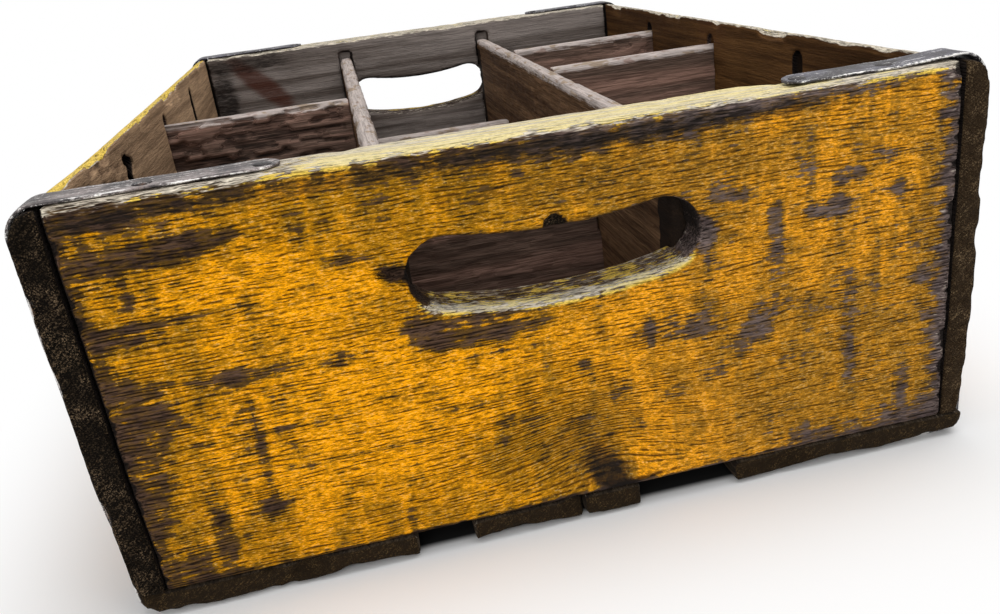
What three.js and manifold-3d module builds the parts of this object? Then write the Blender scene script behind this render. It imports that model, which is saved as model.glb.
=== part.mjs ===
// A wooden bottle crate: nailed end panels, side panels and bottom slats, a half-lapped divider
// grid standing in stopped grooves, and a steel strap bent round each corner.
// Millimetres, +Z up. The origin is under the middle of the crate, on the floor it stands on.
// X runs across the end panels, Y along the side panels, and the front end panel is at -Y.
import * as THREE from 'three';
import { mergeVertices } from 'three/addons/utils/BufferGeometryUtils.js';
import Module from 'manifold-3d';

const wasm = await Module();
wasm.setup();

// Driving dimensions of the box: outside width and length of the wood, height of the panels
const crateWidth = 310;
const crateLength = 422;
const panelHeight = 135;
const sideThickness = 9.5;
const sideInnerEase = 0.5;
const endThickness = 20;
const endEase = 2;

// The hand hole is a slot that sags in the middle. Its middle is measured up from the panel's bottom.
// The front one sits a little right of the centre line
const handHoleWidth = 98;
const handHoleHeight = 24.4;
const handHoleSag = 3.6;
const handHoleMiddle = 90.7;
const frontHoleShift = 1.4;

// The two inner slats butt at a seam, measured from the centre line. The outer ones start past the gaps
const slatThickness = 8.5;
const slatEase = 0.8;
const innerSlatWidths = [41, 21.5];
const innerSlatSeam = 1.6;
const slatGapLeft = 20;
const slatGapRight = 37;

// The divider grid. Drops are measured down from the rim, heights up from the panel's bottom
const columns = 3;
const rows = 4;
const dividerThickness = 8.5;
const dividerEase = 2.2;
const dividerDrop = 12.5;
const splitHeight = 80;
const lapHeight = 61;
const grooveDrop = 7;
const sideGrooveDepth = 4;
const endGrooveDepth = 6;

// The corner straps. Legs and feet are measured from the outer face of the side panel
const strapThickness = 1;
const strapWidth = 14;
const strapOffset = 1;
const strapTopBend = 9;
const strapLowBend = 7;
const strapLegLeft = 76;
const strapLegRight = 69;
const strapFoot = 28;

// The nails: domed heads on the straps, flush heads set into what stands on the floor
const nailSides = 8;
const shankRadius = 1.3;
const pointLength = 3;
const domeRadius = 3;
const domeHeight = 1.2;
const domeRimHeight = 0.5;
const domeCrownRadius = 1.8;
const flushRadius = 2.7;
const flushCone = 1.6;
const flushSet = 0.3;
const footNailSet = 0.15;
const topNailLength = 24;
const sideNailLength = 28;
const bottomNailLength = 31;

// Where the nails sit: insets from tips and edges, a share of the top leg, heights up from the panel's bottom
const topNailFromTip = 5;
const topNailShare = 0.47;
const sideNailHeights = [32, 67, 103];
const footNailFromTip = 7;
const slatNailInset = 9;
const sideEdgeNailInset = 6.5;

// The fits. Cutters reach past the faces that they open by the overcut
const seam = 0.2;
const grooveClearance = 0.4;
const lapClearance = 0.3;
const nailClearance = 0.3;
const overcut = 1;

// Levels and places that follow from the driving dimensions
const slatBottom = strapThickness + seam;
const slatTop = slatBottom + slatThickness;
const panelBottom = slatTop + seam;
const rim = panelBottom + panelHeight;
const dividerBottom = slatTop + seam;
const dividerTop = rim - dividerDrop;
const splitTop = panelBottom + splitHeight;
const lapLevel = panelBottom + lapHeight;
const strapInside = crateWidth / 2 + seam;
const strapY = crateLength / 2 - endThickness / 2 - strapOffset;
const endPanelY = crateLength / 2 - endThickness / 2;
const innerWidth = crateWidth - 2 * sideThickness;
const innerLength = crateLength - 2 * endThickness;
const cellPitchX = (innerWidth + dividerThickness) / columns;
const cellPitchY = (innerLength + dividerThickness) / rows;
const topCorner = strapTopBend - seam;
const lowCorner = strapLowBend - seam;
const quarter = Math.PI / 2;

const columnX = (column) => (column - columns / 2) * cellPitchX;
const rowY = (row) => (row - rows / 2) * cellPitchY;

// Which height the cross dividers still have in each bay, left to right: the rest has split away
const crossDividers = [
  { name: 'front', bayTops: [splitTop, splitTop, splitTop] },
  { name: 'middle', bayTops: [dividerTop, splitTop, dividerTop] },
  { name: 'rear', bayTops: [splitTop, splitTop, dividerTop] },
];

// Finishes
const paintedWood = { color: 0xc98a12, roughness: 0.75, metalness: 0 };
const bareWood = { color: 0x5a4636, roughness: 0.85, metalness: 0 };
const dividerWood = { color: 0x6b5548, roughness: 0.85, metalness: 0 };
const strapSteel = { color: 0x4b4850, roughness: 0.5, metalness: 0.8 };
const nailSteel = { color: 0x55504c, roughness: 0.45, metalness: 0.9 };

const crate = new THREE.Group();

function addPiece(name, geometry, finish) {
  const mesh = new THREE.Mesh(geometry, new THREE.MeshStandardMaterial(finish));
  mesh.name = name;
  crate.add(mesh);
  return mesh;
}

// Booleans on closed meshes
function solidOf(geometry) {
  const bare = geometry.clone();
  bare.deleteAttribute('normal');
  bare.deleteAttribute('uv');
  const merged = mergeVertices(bare);
  const corners = merged.index.array;
  const triangles = [];
  for (let i = 0; i < corners.length; i += 3) {
    const [a, b, c] = [corners[i], corners[i + 1], corners[i + 2]];
    if (a !== b && b !== c && c !== a) triangles.push(a, b, c);
  }
  return new wasm.Manifold(new wasm.Mesh({
    numProp: 3,
    vertProperties: merged.attributes.position.array,
    triVerts: Uint32Array.from(triangles),
  }));
}

function geometryOf(solid) {
  const mesh = solid.getMesh();
  const geometry = new THREE.BufferGeometry();
  geometry.setAttribute('position', new THREE.BufferAttribute(mesh.vertProperties, 3));
  geometry.setIndex(new THREE.BufferAttribute(mesh.triVerts, 1));
  geometry.computeVertexNormals();
  return geometry;
}

function cut(geometry, cutters) {
  let solid = solidOf(geometry);
  for (const cutter of cutters) solid = solid.subtract(solidOf(cutter));
  return geometryOf(solid);
}

// A block between two corners
function block(low, high) {
  const size = high.map((value, axis) => value - low[axis]);
  const geometry = new THREE.BoxGeometry(...size);
  return geometry.translate(...low.map((value, axis) => value + size[axis] / 2));
}

// An XZ outline made a board that stands across Y, centred on Y = 0, with eased edges on both faces
function uprightBoard(outline, thickness, ease) {
  const geometry = new THREE.ExtrudeGeometry(outline, {
    depth: thickness - 2 * ease,
    bevelThickness: ease,
    bevelSize: ease,
    bevelOffset: -ease,
    bevelSegments: 2,
    curveSegments: 6,
  });
  return geometry.translate(0, 0, ease - thickness / 2).rotateX(quarter);
}

// An XZ profile drawn out along Y, centred on Y = 0
function lengthwise(profile, length) {
  const settings = { depth: length, bevelEnabled: false, curveSegments: 4 };
  return new THREE.ExtrudeGeometry(profile, settings).translate(0, 0, -length / 2).rotateX(quarter);
}

// A rectangle whose four corners have their own radii: low left, low right, high right, high left
function roundedRectangle(x0, x1, z0, z1, [lowLeft, lowRight, highRight, highLeft]) {
  const shape = new THREE.Shape();
  shape.moveTo(x0 + lowLeft, z0);
  shape.lineTo(x1 - lowRight, z0);
  shape.absarc(x1 - lowRight, z0 + lowRight, lowRight, -quarter, 0);
  shape.lineTo(x1, z1 - highRight);
  shape.absarc(x1 - highRight, z1 - highRight, highRight, 0, quarter);
  shape.lineTo(x0 + highLeft, z1);
  shape.absarc(x0 + highLeft, z1 - highLeft, highLeft, quarter, 2 * quarter);
  shape.lineTo(x0, z0 + lowLeft);
  shape.absarc(x0 + lowLeft, z0 + lowLeft, lowLeft, 2 * quarter, 3 * quarter);
  return shape;
}

// A body turned about Z from radius and height pairs that run up from its lower end
function turned(outline) {
  const points = outline.map(([radius, height]) => new THREE.Vector2(radius, height));
  return new THREE.LatheGeometry(points, nailSides).rotateX(quarter);
}

// Nails point down, with the seat of a domed head, or the face of a flush one, at height 0
const domeNail = (length) => turned([
  [0, -length],
  [shankRadius, pointLength - length],
  [shankRadius, 0],
  [domeRadius, 0],
  [domeRadius, domeRimHeight],
  [domeCrownRadius, domeHeight],
  [0, domeHeight],
]);

const flushNail = (length) => turned([
  [0, -length],
  [shankRadius, pointLength - length],
  [shankRadius, -flushCone],
  [flushRadius, 0],
  [0, 0],
]);

// Bores follow their nails at the nail clearance and open past the head
const boreRadius = shankRadius + nailClearance;

const domeBore = (length) => turned([
  [0, -length - nailClearance],
  [boreRadius, pointLength - length],
  [boreRadius, overcut],
  [0, overcut],
]);

const flushBore = (length) => turned([
  [0, -length - nailClearance],
  [boreRadius, pointLength - length],
  [boreRadius, -flushCone],
  [flushRadius + nailClearance, 0],
  [flushRadius + nailClearance, overcut],
  [0, overcut],
]);

const nailShapes = { dome: domeNail, flush: flushNail };
const boreShapes = { dome: domeBore, flush: flushBore };

const nails = [];
const downward = [0, 0, 0];
const upward = [2 * quarter, 0, 0];

function driveNail(name, kind, length, position, rotation, through) {
  nails.push({ name, kind, length, position, rotation, through });
}

// The bores that a piece gives to the nails driven through it
function boresIn(piece) {
  return nails.filter((nail) => nail.through.includes(piece)).map((nail) => {
    const turn = new THREE.Quaternion().setFromEuler(new THREE.Euler(...nail.rotation));
    const place = new THREE.Matrix4().compose(
      new THREE.Vector3(...nail.position), turn, new THREE.Vector3(1, 1, 1));
    return boreShapes[nail.kind](nail.length).applyMatrix4(place);
  });
}

const ends = [
  { name: 'front', side: -1, holeShift: frontHoleShift },
  { name: 'rear', side: 1, holeShift: 0 },
];
const sides = [
  { name: 'left', side: -1, leg: strapLegLeft },
  { name: 'right', side: 1, leg: strapLegRight },
];

// The slats across the bottom, from left to right. The outer two reach the outside faces
const innerSlatLow = innerSlatSeam - innerSlatWidths[0];
const innerSlatHigh = innerSlatSeam + innerSlatWidths[1];
const slats = [
  { name: 'bottom_slat_left', low: -crateWidth / 2, high: innerSlatLow - slatGapLeft, outerSide: -1 },
  { name: 'bottom_slat_middle_left', low: innerSlatLow, high: innerSlatSeam - seam, outerSide: 0 },
  { name: 'bottom_slat_middle_right', low: innerSlatSeam, high: innerSlatHigh, outerSide: 0 },
  { name: 'bottom_slat_right', low: innerSlatHigh + slatGapRight, high: crateWidth / 2, outerSide: 1 },
];

// Strap nails: two in the top leg, three in the side leg and one in the foot
for (const end of ends) {
  const y = end.side * strapY;
  const endPanel = `end_panel_${end.name}`;
  for (const { name, side, leg } of sides) {
    const corner = `${end.name}_${name}`;
    const strap = `corner_strap_${corner}`;
    const outerFace = side * crateWidth / 2;
    [leg * topNailShare, leg - topNailFromTip].forEach((inset, i) => {
      const seat = [outerFace - side * inset, y, rim + 2 * seam + strapThickness];
      const through = [strap, endPanel];
      driveNail(`strap_top_nail_${corner}_${i + 1}`, 'dome', topNailLength, seat, downward, through);
    });
    sideNailHeights.forEach((height, i) => {
      const seat = [side * (strapInside + strapThickness + seam), y, panelBottom + height];
      const inward = [0, side * quarter, 0];
      const through = [strap, `side_panel_${name}`, endPanel];
      driveNail(`strap_side_nail_${corner}_${i + 1}`, 'dome', sideNailLength, seat, inward, through);
    });
    const seat = [outerFace - side * (strapFoot - footNailFromTip), y, footNailSet];
    const through = [strap, `bottom_slat_${name}`, endPanel];
    driveNail(`strap_foot_nail_${corner}`, 'flush', bottomNailLength, seat, upward, through);
  }
}

// Slat nails: up into the end panels, clear of the strap feet
const footReach = strapFoot + footNailFromTip;

for (const end of ends) {
  let count = 0;
  for (const { name, low, high, outerSide } of slats) {
    const first = low + slatNailInset + (outerSide < 0 ? footReach : 0);
    const last = high - slatNailInset - (outerSide > 0 ? footReach : 0);
    const places = last - first > 2 * flushRadius ? [first, last] : [(low + high) / 2];
    for (const x of places) {
      count += 1;
      const seat = [x, end.side * endPanelY, slatBottom + flushSet];
      const through = [name, `end_panel_${end.name}`];
      driveNail(`slat_nail_${end.name}_${count}`, 'flush', bottomNailLength, seat, upward, through);
    }
  }
}

// Slat nails: up into the bottom edges of the side panels, half a cell from the middle groove
for (const { name, side } of sides) {
  for (const end of ends) {
    const seat = [
      side * (crateWidth / 2 - sideEdgeNailInset),
      end.side * cellPitchY / 2,
      slatBottom + flushSet,
    ];
    const through = [`bottom_slat_${name}`, `side_panel_${name}`];
    driveNail(`side_edge_nail_${name}_${end.name}`, 'flush', bottomNailLength, seat, upward, through);
  }
}

// The hand hole: two long arcs about one centre high above, joined by round ends
function handHole(shift) {
  const half = handHoleHeight / 2;
  const reach = handHoleWidth / 2 - half;
  const radius = (reach * reach + handHoleSag * handHoleSag) / (2 * handHoleSag);
  const lean = Math.asin(reach / radius);
  const centre = panelBottom + handHoleMiddle + radius;
  const endZ = centre - radius * Math.cos(lean);
  const hole = new THREE.Path();
  hole.absarc(shift, centre, radius + half, -quarter - lean, -quarter + lean);
  hole.absarc(shift + reach, endZ, half, -quarter + lean, quarter + lean);
  hole.absarc(shift, centre, radius - half, -quarter + lean, -quarter - lean, true);
  hole.absarc(shift - reach, endZ, half, quarter - lean, 3 * quarter - lean);
  return hole;
}

// End panels, with a groove for each long divider on the inner face
for (const end of ends) {
  const name = `end_panel_${end.name}`;
  const reach = crateWidth / 2 - sideThickness - seam;
  const outline = roundedRectangle(-reach, reach, panelBottom, rim, [0, 0, 0, 0]);
  outline.holes.push(handHole(end.holeShift));
  const board = uprightBoard(outline, endThickness, endEase).translate(0, end.side * endPanelY, 0);
  const innerFace = end.side * innerLength / 2;
  const grooveFloor = innerFace + end.side * endGrooveDepth;
  const grooveMouth = innerFace - end.side * overcut;
  const grooves = [];
  for (let column = 1; column < columns; column += 1) {
    const half = dividerThickness / 2 + grooveClearance;
    grooves.push(block(
      [columnX(column) - half, Math.min(grooveFloor, grooveMouth), panelBottom - overcut],
      [columnX(column) + half, Math.max(grooveFloor, grooveMouth), rim - grooveDrop]));
  }
  addPiece(name, cut(board, [...grooves, ...boresIn(name)]), paintedWood);
}

// Side panels: the outer top edge is round under the straps, and the grooves end in a round top
function sideGroove(side, y) {
  const half = dividerThickness / 2 + grooveClearance;
  const top = rim - grooveDrop - half;
  const outline = new THREE.Shape();
  outline.moveTo(y - half, panelBottom - overcut);
  outline.lineTo(y + half, panelBottom - overcut);
  outline.lineTo(y + half, top);
  outline.absarc(y, top, half, 0, 2 * quarter);
  const depth = sideGrooveDepth + overcut;
  const geometry = new THREE.ExtrudeGeometry(outline, { depth, bevelEnabled: false, curveSegments: 4 });
  geometry.rotateX(quarter).rotateZ(quarter);
  const mouth = innerWidth / 2 - overcut;
  return geometry.translate(side > 0 ? mouth : -mouth - depth, 0, 0);
}

for (const { name, side } of sides) {
  const panel = `side_panel_${name}`;
  const [inner, outer] = [side * innerWidth / 2, side * crateWidth / 2];
  const corners = side < 0 ? [0, 0, sideInnerEase, topCorner] : [0, 0, topCorner, sideInnerEase];
  const [low, high] = [Math.min(inner, outer), Math.max(inner, outer)];
  const profile = roundedRectangle(low, high, panelBottom, rim, corners);
  const grooves = [];
  for (let row = 1; row < rows; row += 1) grooves.push(sideGroove(side, rowY(row)));
  addPiece(panel, cut(lengthwise(profile, crateLength), [...grooves, ...boresIn(panel)]), paintedWood);
}

// Bottom slats: the outer low edges are round over the straps
for (const { name, low, high, outerSide } of slats) {
  const corners = [slatEase, slatEase, slatEase, slatEase];
  if (outerSide < 0) corners[0] = lowCorner;
  if (outerSide > 0) corners[1] = lowCorner;
  const profile = roundedRectangle(low, high, slatBottom, slatTop, corners);
  addPiece(name, cut(lengthwise(profile, crateLength), boresIn(name)), bareWood);
}

// Long dividers, with a notch from below over each cross divider
const lapHalf = dividerThickness / 2 + lapClearance;

for (let column = 1; column < columns; column += 1) {
  const reach = innerLength / 2 + endGrooveDepth - grooveClearance;
  const outline = roundedRectangle(-reach, reach, dividerBottom, dividerTop, [0, 0, 0, 0]);
  const board = uprightBoard(outline, dividerThickness, dividerEase).rotateZ(quarter);
  const notches = [];
  for (let row = 1; row < rows; row += 1) {
    notches.push(block(
      [-dividerThickness, rowY(row) - lapHalf, dividerBottom - overcut],
      [dividerThickness, rowY(row) + lapHalf, lapLevel + seam]));
  }
  const name = column < columns / 2 ? 'long_divider_left' : 'long_divider_right';
  addPiece(name, cut(board, notches), dividerWood).position.x = columnX(column);
}

// Cross dividers, with a notch from above for each long divider
crossDividers.forEach(({ name, bayTops }, i) => {
  const reach = innerWidth / 2 + sideGrooveDepth - grooveClearance;
  const bayEdges = bayTops.map((top, bay) => (bay === 0 ? -reach : columnX(bay))).concat(reach);
  const outline = new THREE.Shape();
  outline.moveTo(-reach, dividerBottom);
  outline.lineTo(reach, dividerBottom);
  for (let bay = columns - 1; bay >= 0; bay -= 1) {
    outline.lineTo(bayEdges[bay + 1], bayTops[bay]);
    if (bay === 0 || bayTops[bay - 1] !== bayTops[bay]) outline.lineTo(bayEdges[bay], bayTops[bay]);
  }
  const notches = [];
  for (let column = 1; column < columns; column += 1) {
    notches.push(block(
      [columnX(column) - lapHalf, -dividerThickness, lapLevel],
      [columnX(column) + lapHalf, dividerThickness, rim]));
  }
  const board = uprightBoard(outline, dividerThickness, dividerEase);
  addPiece(`cross_divider_${name}`, cut(board, notches), dividerWood).position.y = rowY(i + 1);
});

// Corner straps: a flat steel band bent to a C, with round ends
function strapProfile(leg) {
  const inside = -strapInside;
  const under = rim + seam;
  const topBendX = inside + strapTopBend;
  const topBendZ = under - strapTopBend;
  const lowBendX = inside + strapLowBend;
  const lowBendZ = strapThickness + strapLowBend;
  const legEnd = -crateWidth / 2 + leg;
  const footEnd = -crateWidth / 2 + strapFoot;
  const shape = new THREE.Shape();
  shape.moveTo(legEnd, under + strapThickness);
  shape.lineTo(topBendX, under + strapThickness);
  shape.absarc(topBendX, topBendZ, strapTopBend + strapThickness, quarter, 2 * quarter);
  shape.absarc(lowBendX, lowBendZ, strapLowBend + strapThickness, 2 * quarter, 3 * quarter);
  shape.lineTo(footEnd, 0);
  shape.lineTo(footEnd, strapThickness);
  shape.absarc(lowBendX, lowBendZ, strapLowBend, 3 * quarter, 2 * quarter, true);
  shape.absarc(topBendX, topBendZ, strapTopBend, 2 * quarter, quarter, true);
  shape.lineTo(legEnd, under);
  return shape;
}

function roundEnded(end, low, high) {
  const start = -strapInside - strapThickness - overcut;
  const half = strapWidth / 2;
  const shape = new THREE.Shape();
  shape.moveTo(start, -half);
  shape.lineTo(end - half, -half);
  shape.absarc(end - half, 0, half, -quarter, quarter);
  shape.lineTo(start, half);
  const settings = { depth: high - low, bevelEnabled: false, curveSegments: 6 };
  return new THREE.ExtrudeGeometry(shape, settings).translate(0, 0, low);
}

function strapGeometry(leg) {
  const band = solidOf(lengthwise(strapProfile(leg), strapWidth + 2 * overcut));
  const middle = rim / 2;
  const outerFace = -crateWidth / 2;
  const upper = solidOf(roundEnded(outerFace + leg, middle - overcut, rim + 2 * strapThickness + overcut));
  const lower = solidOf(roundEnded(outerFace + strapFoot, -overcut, middle));
  return geometryOf(band.intersect(upper.add(lower)));
}

for (const end of ends) {
  for (const { name, side, leg } of sides) {
    const strap = `corner_strap_${end.name}_${name}`;
    const band = strapGeometry(leg);
    if (side > 0) band.rotateZ(2 * quarter);
    addPiece(strap, cut(band.translate(0, end.side * strapY, 0), boresIn(strap)), strapSteel);
  }
}

for (const { name, kind, length, position, rotation } of nails) {
  const nail = addPiece(name, nailShapes[kind](length), nailSteel);
  nail.position.set(...position);
  nail.rotation.set(...rotation);
}

export default crate;
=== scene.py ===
"""Looks of a worn wooden bottle crate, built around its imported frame."""
import math

import bmesh
import bpy
import numpy as np
from mathutils import Matrix, Vector


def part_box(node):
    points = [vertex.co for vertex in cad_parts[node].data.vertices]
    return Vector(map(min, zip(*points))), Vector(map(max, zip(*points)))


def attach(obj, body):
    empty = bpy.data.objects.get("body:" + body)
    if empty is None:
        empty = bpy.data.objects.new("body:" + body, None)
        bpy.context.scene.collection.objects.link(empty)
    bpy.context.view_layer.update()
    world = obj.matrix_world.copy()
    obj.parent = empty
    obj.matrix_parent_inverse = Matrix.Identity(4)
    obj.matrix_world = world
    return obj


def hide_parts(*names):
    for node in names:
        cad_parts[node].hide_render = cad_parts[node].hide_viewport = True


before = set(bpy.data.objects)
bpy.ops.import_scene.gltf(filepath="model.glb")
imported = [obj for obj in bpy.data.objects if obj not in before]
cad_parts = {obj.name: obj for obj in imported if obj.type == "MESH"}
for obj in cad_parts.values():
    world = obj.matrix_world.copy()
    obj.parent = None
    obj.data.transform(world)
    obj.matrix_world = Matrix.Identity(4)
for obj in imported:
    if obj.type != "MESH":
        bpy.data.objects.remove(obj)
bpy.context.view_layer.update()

bl_info = {
    "name": "Worn bottle crate",
    "version": (1, 0, 0),
    "blender": (4, 5, 0),
    "location": "View3D > Sidebar > Crate",
    "description": "Builds a weathered, painted wooden bottle crate around its packed frame",
    "category": "Object",
}

MM = 0.001
BODY = "root"


def box_of(node):
    """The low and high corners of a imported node, in millimetres."""
    return [np.array(corner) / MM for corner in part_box(node)]


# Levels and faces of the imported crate, in millimetres from its floor and its middle
FRONT, SIDE = box_of("end_panel_front"), box_of("side_panel_left")
PANEL_BOTTOM, RIM = FRONT[0][2], FRONT[1][2]
HALF_LENGTH, HALF_INSIDE = -FRONT[0][1], -FRONT[1][1]
OUTER_SIDE, INNER_SIDE = -SIDE[0][0], -SIDE[1][0]
LONG_DIVIDER_X = abs(sum(box_of("long_divider_left"))[0]) / 2
CROSS_DIVIDER_Y = abs(sum(box_of("cross_divider_front"))[1]) / 2


def tint(red, green, blue):
    """A colour as it looks on a screen, 0 to 255 a channel, as Blender's linear colour."""
    shares = [channel / 255 for channel in (red, green, blue)]
    linear = [s / 12.92 if s <= 0.04045 else ((s + 0.055) / 1.055) ** 2.4 for s in shares]
    return (*linear, 1.0)


def number_prop(name, description, default, **more):
    """A number that a user may change."""
    return bpy.props.FloatProperty(name=name, description=description, default=default, **more)


def length_prop(name, description, millimetres):
    """A length that a user may change, given in millimetres."""
    return number_prop(
        name, description, millimetres * MM, min=0.0, unit="LENGTH", subtype="DISTANCE", precision=4)


def angle_prop(name, description, degrees):
    """An angle that a user may change, given in degrees."""
    return number_prop(name, description, math.radians(degrees), subtype="ANGLE")


def power_prop(name, description, watts):
    """A lamp's power that a user may change, given in watts."""
    return number_prop(name, description, watts, min=0.0, subtype="POWER")


def count_prop(name, description, default):
    """A whole number that a user may change."""
    return bpy.props.IntProperty(name=name, description=description, default=default, min=1)


def colour_prop(name, description, red, green, blue):
    """A colour that a user may change, given as it looks on a screen."""
    return bpy.props.FloatVectorProperty(
        name=name, description=description, default=tint(red, green, blue), size=4,
        min=0.0, max=1.0, subtype="COLOR")


def labelled(kind, table):
    """Properties of one kind, labelled after their keys, from a table of descriptions and defaults."""
    return {key: kind(key.replace("_", " ").capitalize(), *row) for key, row in table.items()}


class CrateBoards(bpy.types.PropertyGroup):
    """Sizes of the boards' wear."""

    __annotations__ = labelled(length_prop, {
        "mesh_size": ("Width of the faces on the near end panel", 1.05),
        "coarse_size": ("Width of the faces on the other boards", 1.5),
        "side_size": ("Width of the faces on the side panels", 1.28),
        "grain_relief": ("Height of the weathered grain over its hollows", 0.35),
        "dent_depth": ("Depth of the knocks in the faces", 0.7),
        "warp": ("How far the front end of a side panel has warped outwards", 1.9)})
    __annotations__ |= labelled(count_prop, {
        "rounding": ("Smoothing steps of the wear on a thick board's edges", 16),
        "thin_rounding": ("Smoothing steps of the wear on a thin board's edges", 5),
        "seed": ("Start of every random draw on the boards", 7)})
    edge_wear: number_prop(
        "Edge wear", "How much of an edge is worn away where it is rubbed most", 0.9, min=0.0, max=1.0,
        subtype="FACTOR")


class CrateFinish(bpy.types.PropertyGroup):
    """Colours of the paint, wood and steel."""

    __annotations__ = labelled(colour_prop, {
        "paint_bright": ("Paint where it kept its colour", 246, 164, 4),
        "paint_ochre": ("Paint that has darkened", 180, 124, 10),
        # The straw colour is the rims' bleached paint and also paints small glints on the paint
        "paint_straw": ("Paint bleached on the rims", 236, 220, 164),
        "paint_lemon": ("Paint faded on the edges", 230, 196, 84),
        "paint_olive": ("Paint worn thin", 140, 102, 18),
        # The paint's colour where it lies in painted shade in the open cracks
        "paint_deep": ("Paint in the cracks of the grain", 74, 42, 3),
        "wood_mid": ("Wood where the paint is gone", 82, 62, 50),
        "wood_dark": ("Dark bands of the bare wood", 54, 40, 32),
        "silver_mid": ("Bare wood that has greyed", 110, 96, 92),
        "silver_dark": ("Dark bands of the greyed wood", 80, 68, 66),
        "wood_grain": ("Lines of the open grain", 26, 17, 9),
        "wood_grey": ("Weathered wood of worn edges", 208, 198, 180),
        "inside_mid": ("Bare wood on the inside of the end panels", 148, 138, 132),
        "inside_dark": ("Dark bands on the inside of the end panels", 94, 84, 78),
        "left_mid": ("Bare wood on the inside of the left panel", 196, 162, 128),
        "left_dark": ("Dark bands on the inside of the left panel", 134, 108, 84),
        "right_mid": ("Bare wood on the inside of the right panel", 116, 82, 48),
        "right_dark": ("Dark bands on the inside of the right panel", 72, 48, 28),
        "stain": ("Spilt drink on the inside", 78, 40, 28),
        "long_mid": ("Faces of the long dividers", 128, 98, 72),
        "long_dark": ("Dark bands on the long dividers", 82, 60, 44),
        "cross_mid": ("Faces of the cross dividers", 150, 118, 104),
        "cross_dark": ("Dark bands on the cross dividers", 98, 80, 70),
        "divider_pale": ("Worn edges of the dividers", 196, 184, 178),
        "slat_mid": ("Faces of the bottom slats", 84, 72, 58),
        "slat_dark": ("Dark bands on the bottom slats", 46, 39, 32),
        "left_cut": ("Soaked ends of the left panel", 14, 10, 6),
        "left_dry": ("Dry fibres in those ends", 150, 126, 98),
        "slat_cut": ("Ends of the bottom slats", 40, 31, 21),
        "slat_dry": ("Dry fibres in those ends", 112, 90, 58),
        "right_cut": ("Ends of the right panel", 50, 38, 25),
        "right_dry": ("Dry fibres in those ends", 150, 126, 94),
        # This dark colour is real grime and also painted shade in hollows, seams and on undersides
        "soot": ("Grime in corners and under the rim", 30, 26, 24),
        "strap": ("Grey-brown steel of the left strap", 142, 131, 128),
        "strap_blue": ("Blue-grey steel of the right strap", 86, 84, 94),
        "strap_dark": ("Dark scale on the straps", 44, 39, 40),
        "rust": ("Rust on straps and nails", 92, 66, 50),
        # This bright colour is scuffs and also a painted highlight on the front straps' edges
        "scuff": ("Bright scuffs on the steel", 240, 238, 234)})


class CrateFittings(bpy.types.PropertyGroup):
    """Sizes of the straps and nails."""

    __annotations__ = labelled(length_prop, {
        "strap_thickness": ("Thickness of the steel band", 1.0),
        "strap_width": ("Width of the steel band", 14.0),
        "strap_top_bend": ("Inner radius of the bend at the rim", 9.0),
        "strap_low_bend": ("Inner radius of the bend at the floor", 7.0),
        "strap_foot": ("Length of the foot under the slats", 28.0),
        "nail_dimple": ("Depth of the hollow that a nail has drawn into the band", 0.7),
        "head_sink": ("How far a strap nail's head is driven in past a full dome", 1.0),
        "strap_dent": ("Depth of the dents in the band", 0.35),
        "strap_slack": ("How far a strap has worked loose from its side panel", 2.2),
        "strap_lift": ("How far a strap has worked loose from the rim at its corner", 1.2),
        "dome_radius": ("Radius of a strap nail's head", 3.0),
        "dome_height": ("Height of a strap nail's head", 0.7),
        "flush_radius": ("Radius of a slat nail's head", 2.7),
        "flush_height": ("Height of a slat nail's head", 0.45),
        "shank_radius": ("Radius of a nail's shank", 1.3)})
    __annotations__ |= labelled(angle_prop, {"nail_tilt": ("How far a nail may stand out of true", 5)})
    __annotations__ |= labelled(count_prop, {"nail_seed": ("Start of the nails' random draws", 3)})


class CrateStage(bpy.types.PropertyGroup):
    """Camera, lamps and floor."""

    camera_place: bpy.props.FloatVectorProperty(
        name="Camera place", description="Where the camera stands", size=3, subtype="TRANSLATION",
        unit="LENGTH", default=(-56.81 * MM, -475.99 * MM, 201.23 * MM))
    camera_turn: angle_prop("Camera turn", "Turn of the view to the right of +Y", 9.571)
    camera_dip: angle_prop("Camera dip", "How far the view points down", 21.787)
    camera_roll: angle_prop("Camera roll", "How far the camera leans to its right", 7.155)
    camera_shift: bpy.props.FloatVectorProperty(
        name="Camera shift", description="How far the picture is off the lens's middle, in picture widths",
        size=2, default=(-0.0213, -0.0160))
    lens: number_prop("Lens", "Focal length on a 36 mm sensor", 32.05, min=1.0, subtype="DISTANCE_CAMERA")
    overhead_watts: power_prop("Overhead lamp", "Power of the soft lamp overhead", 9.5)
    front_watts: power_prop("Front lamp", "Power of the soft lamp at the front", 4.7)
    room_light: number_prop("Room light", "Strength of the even light all round", 0.4, min=0.0)
    floor_size: length_prop("Floor size", "Half the width of the floor", 6000)


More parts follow.
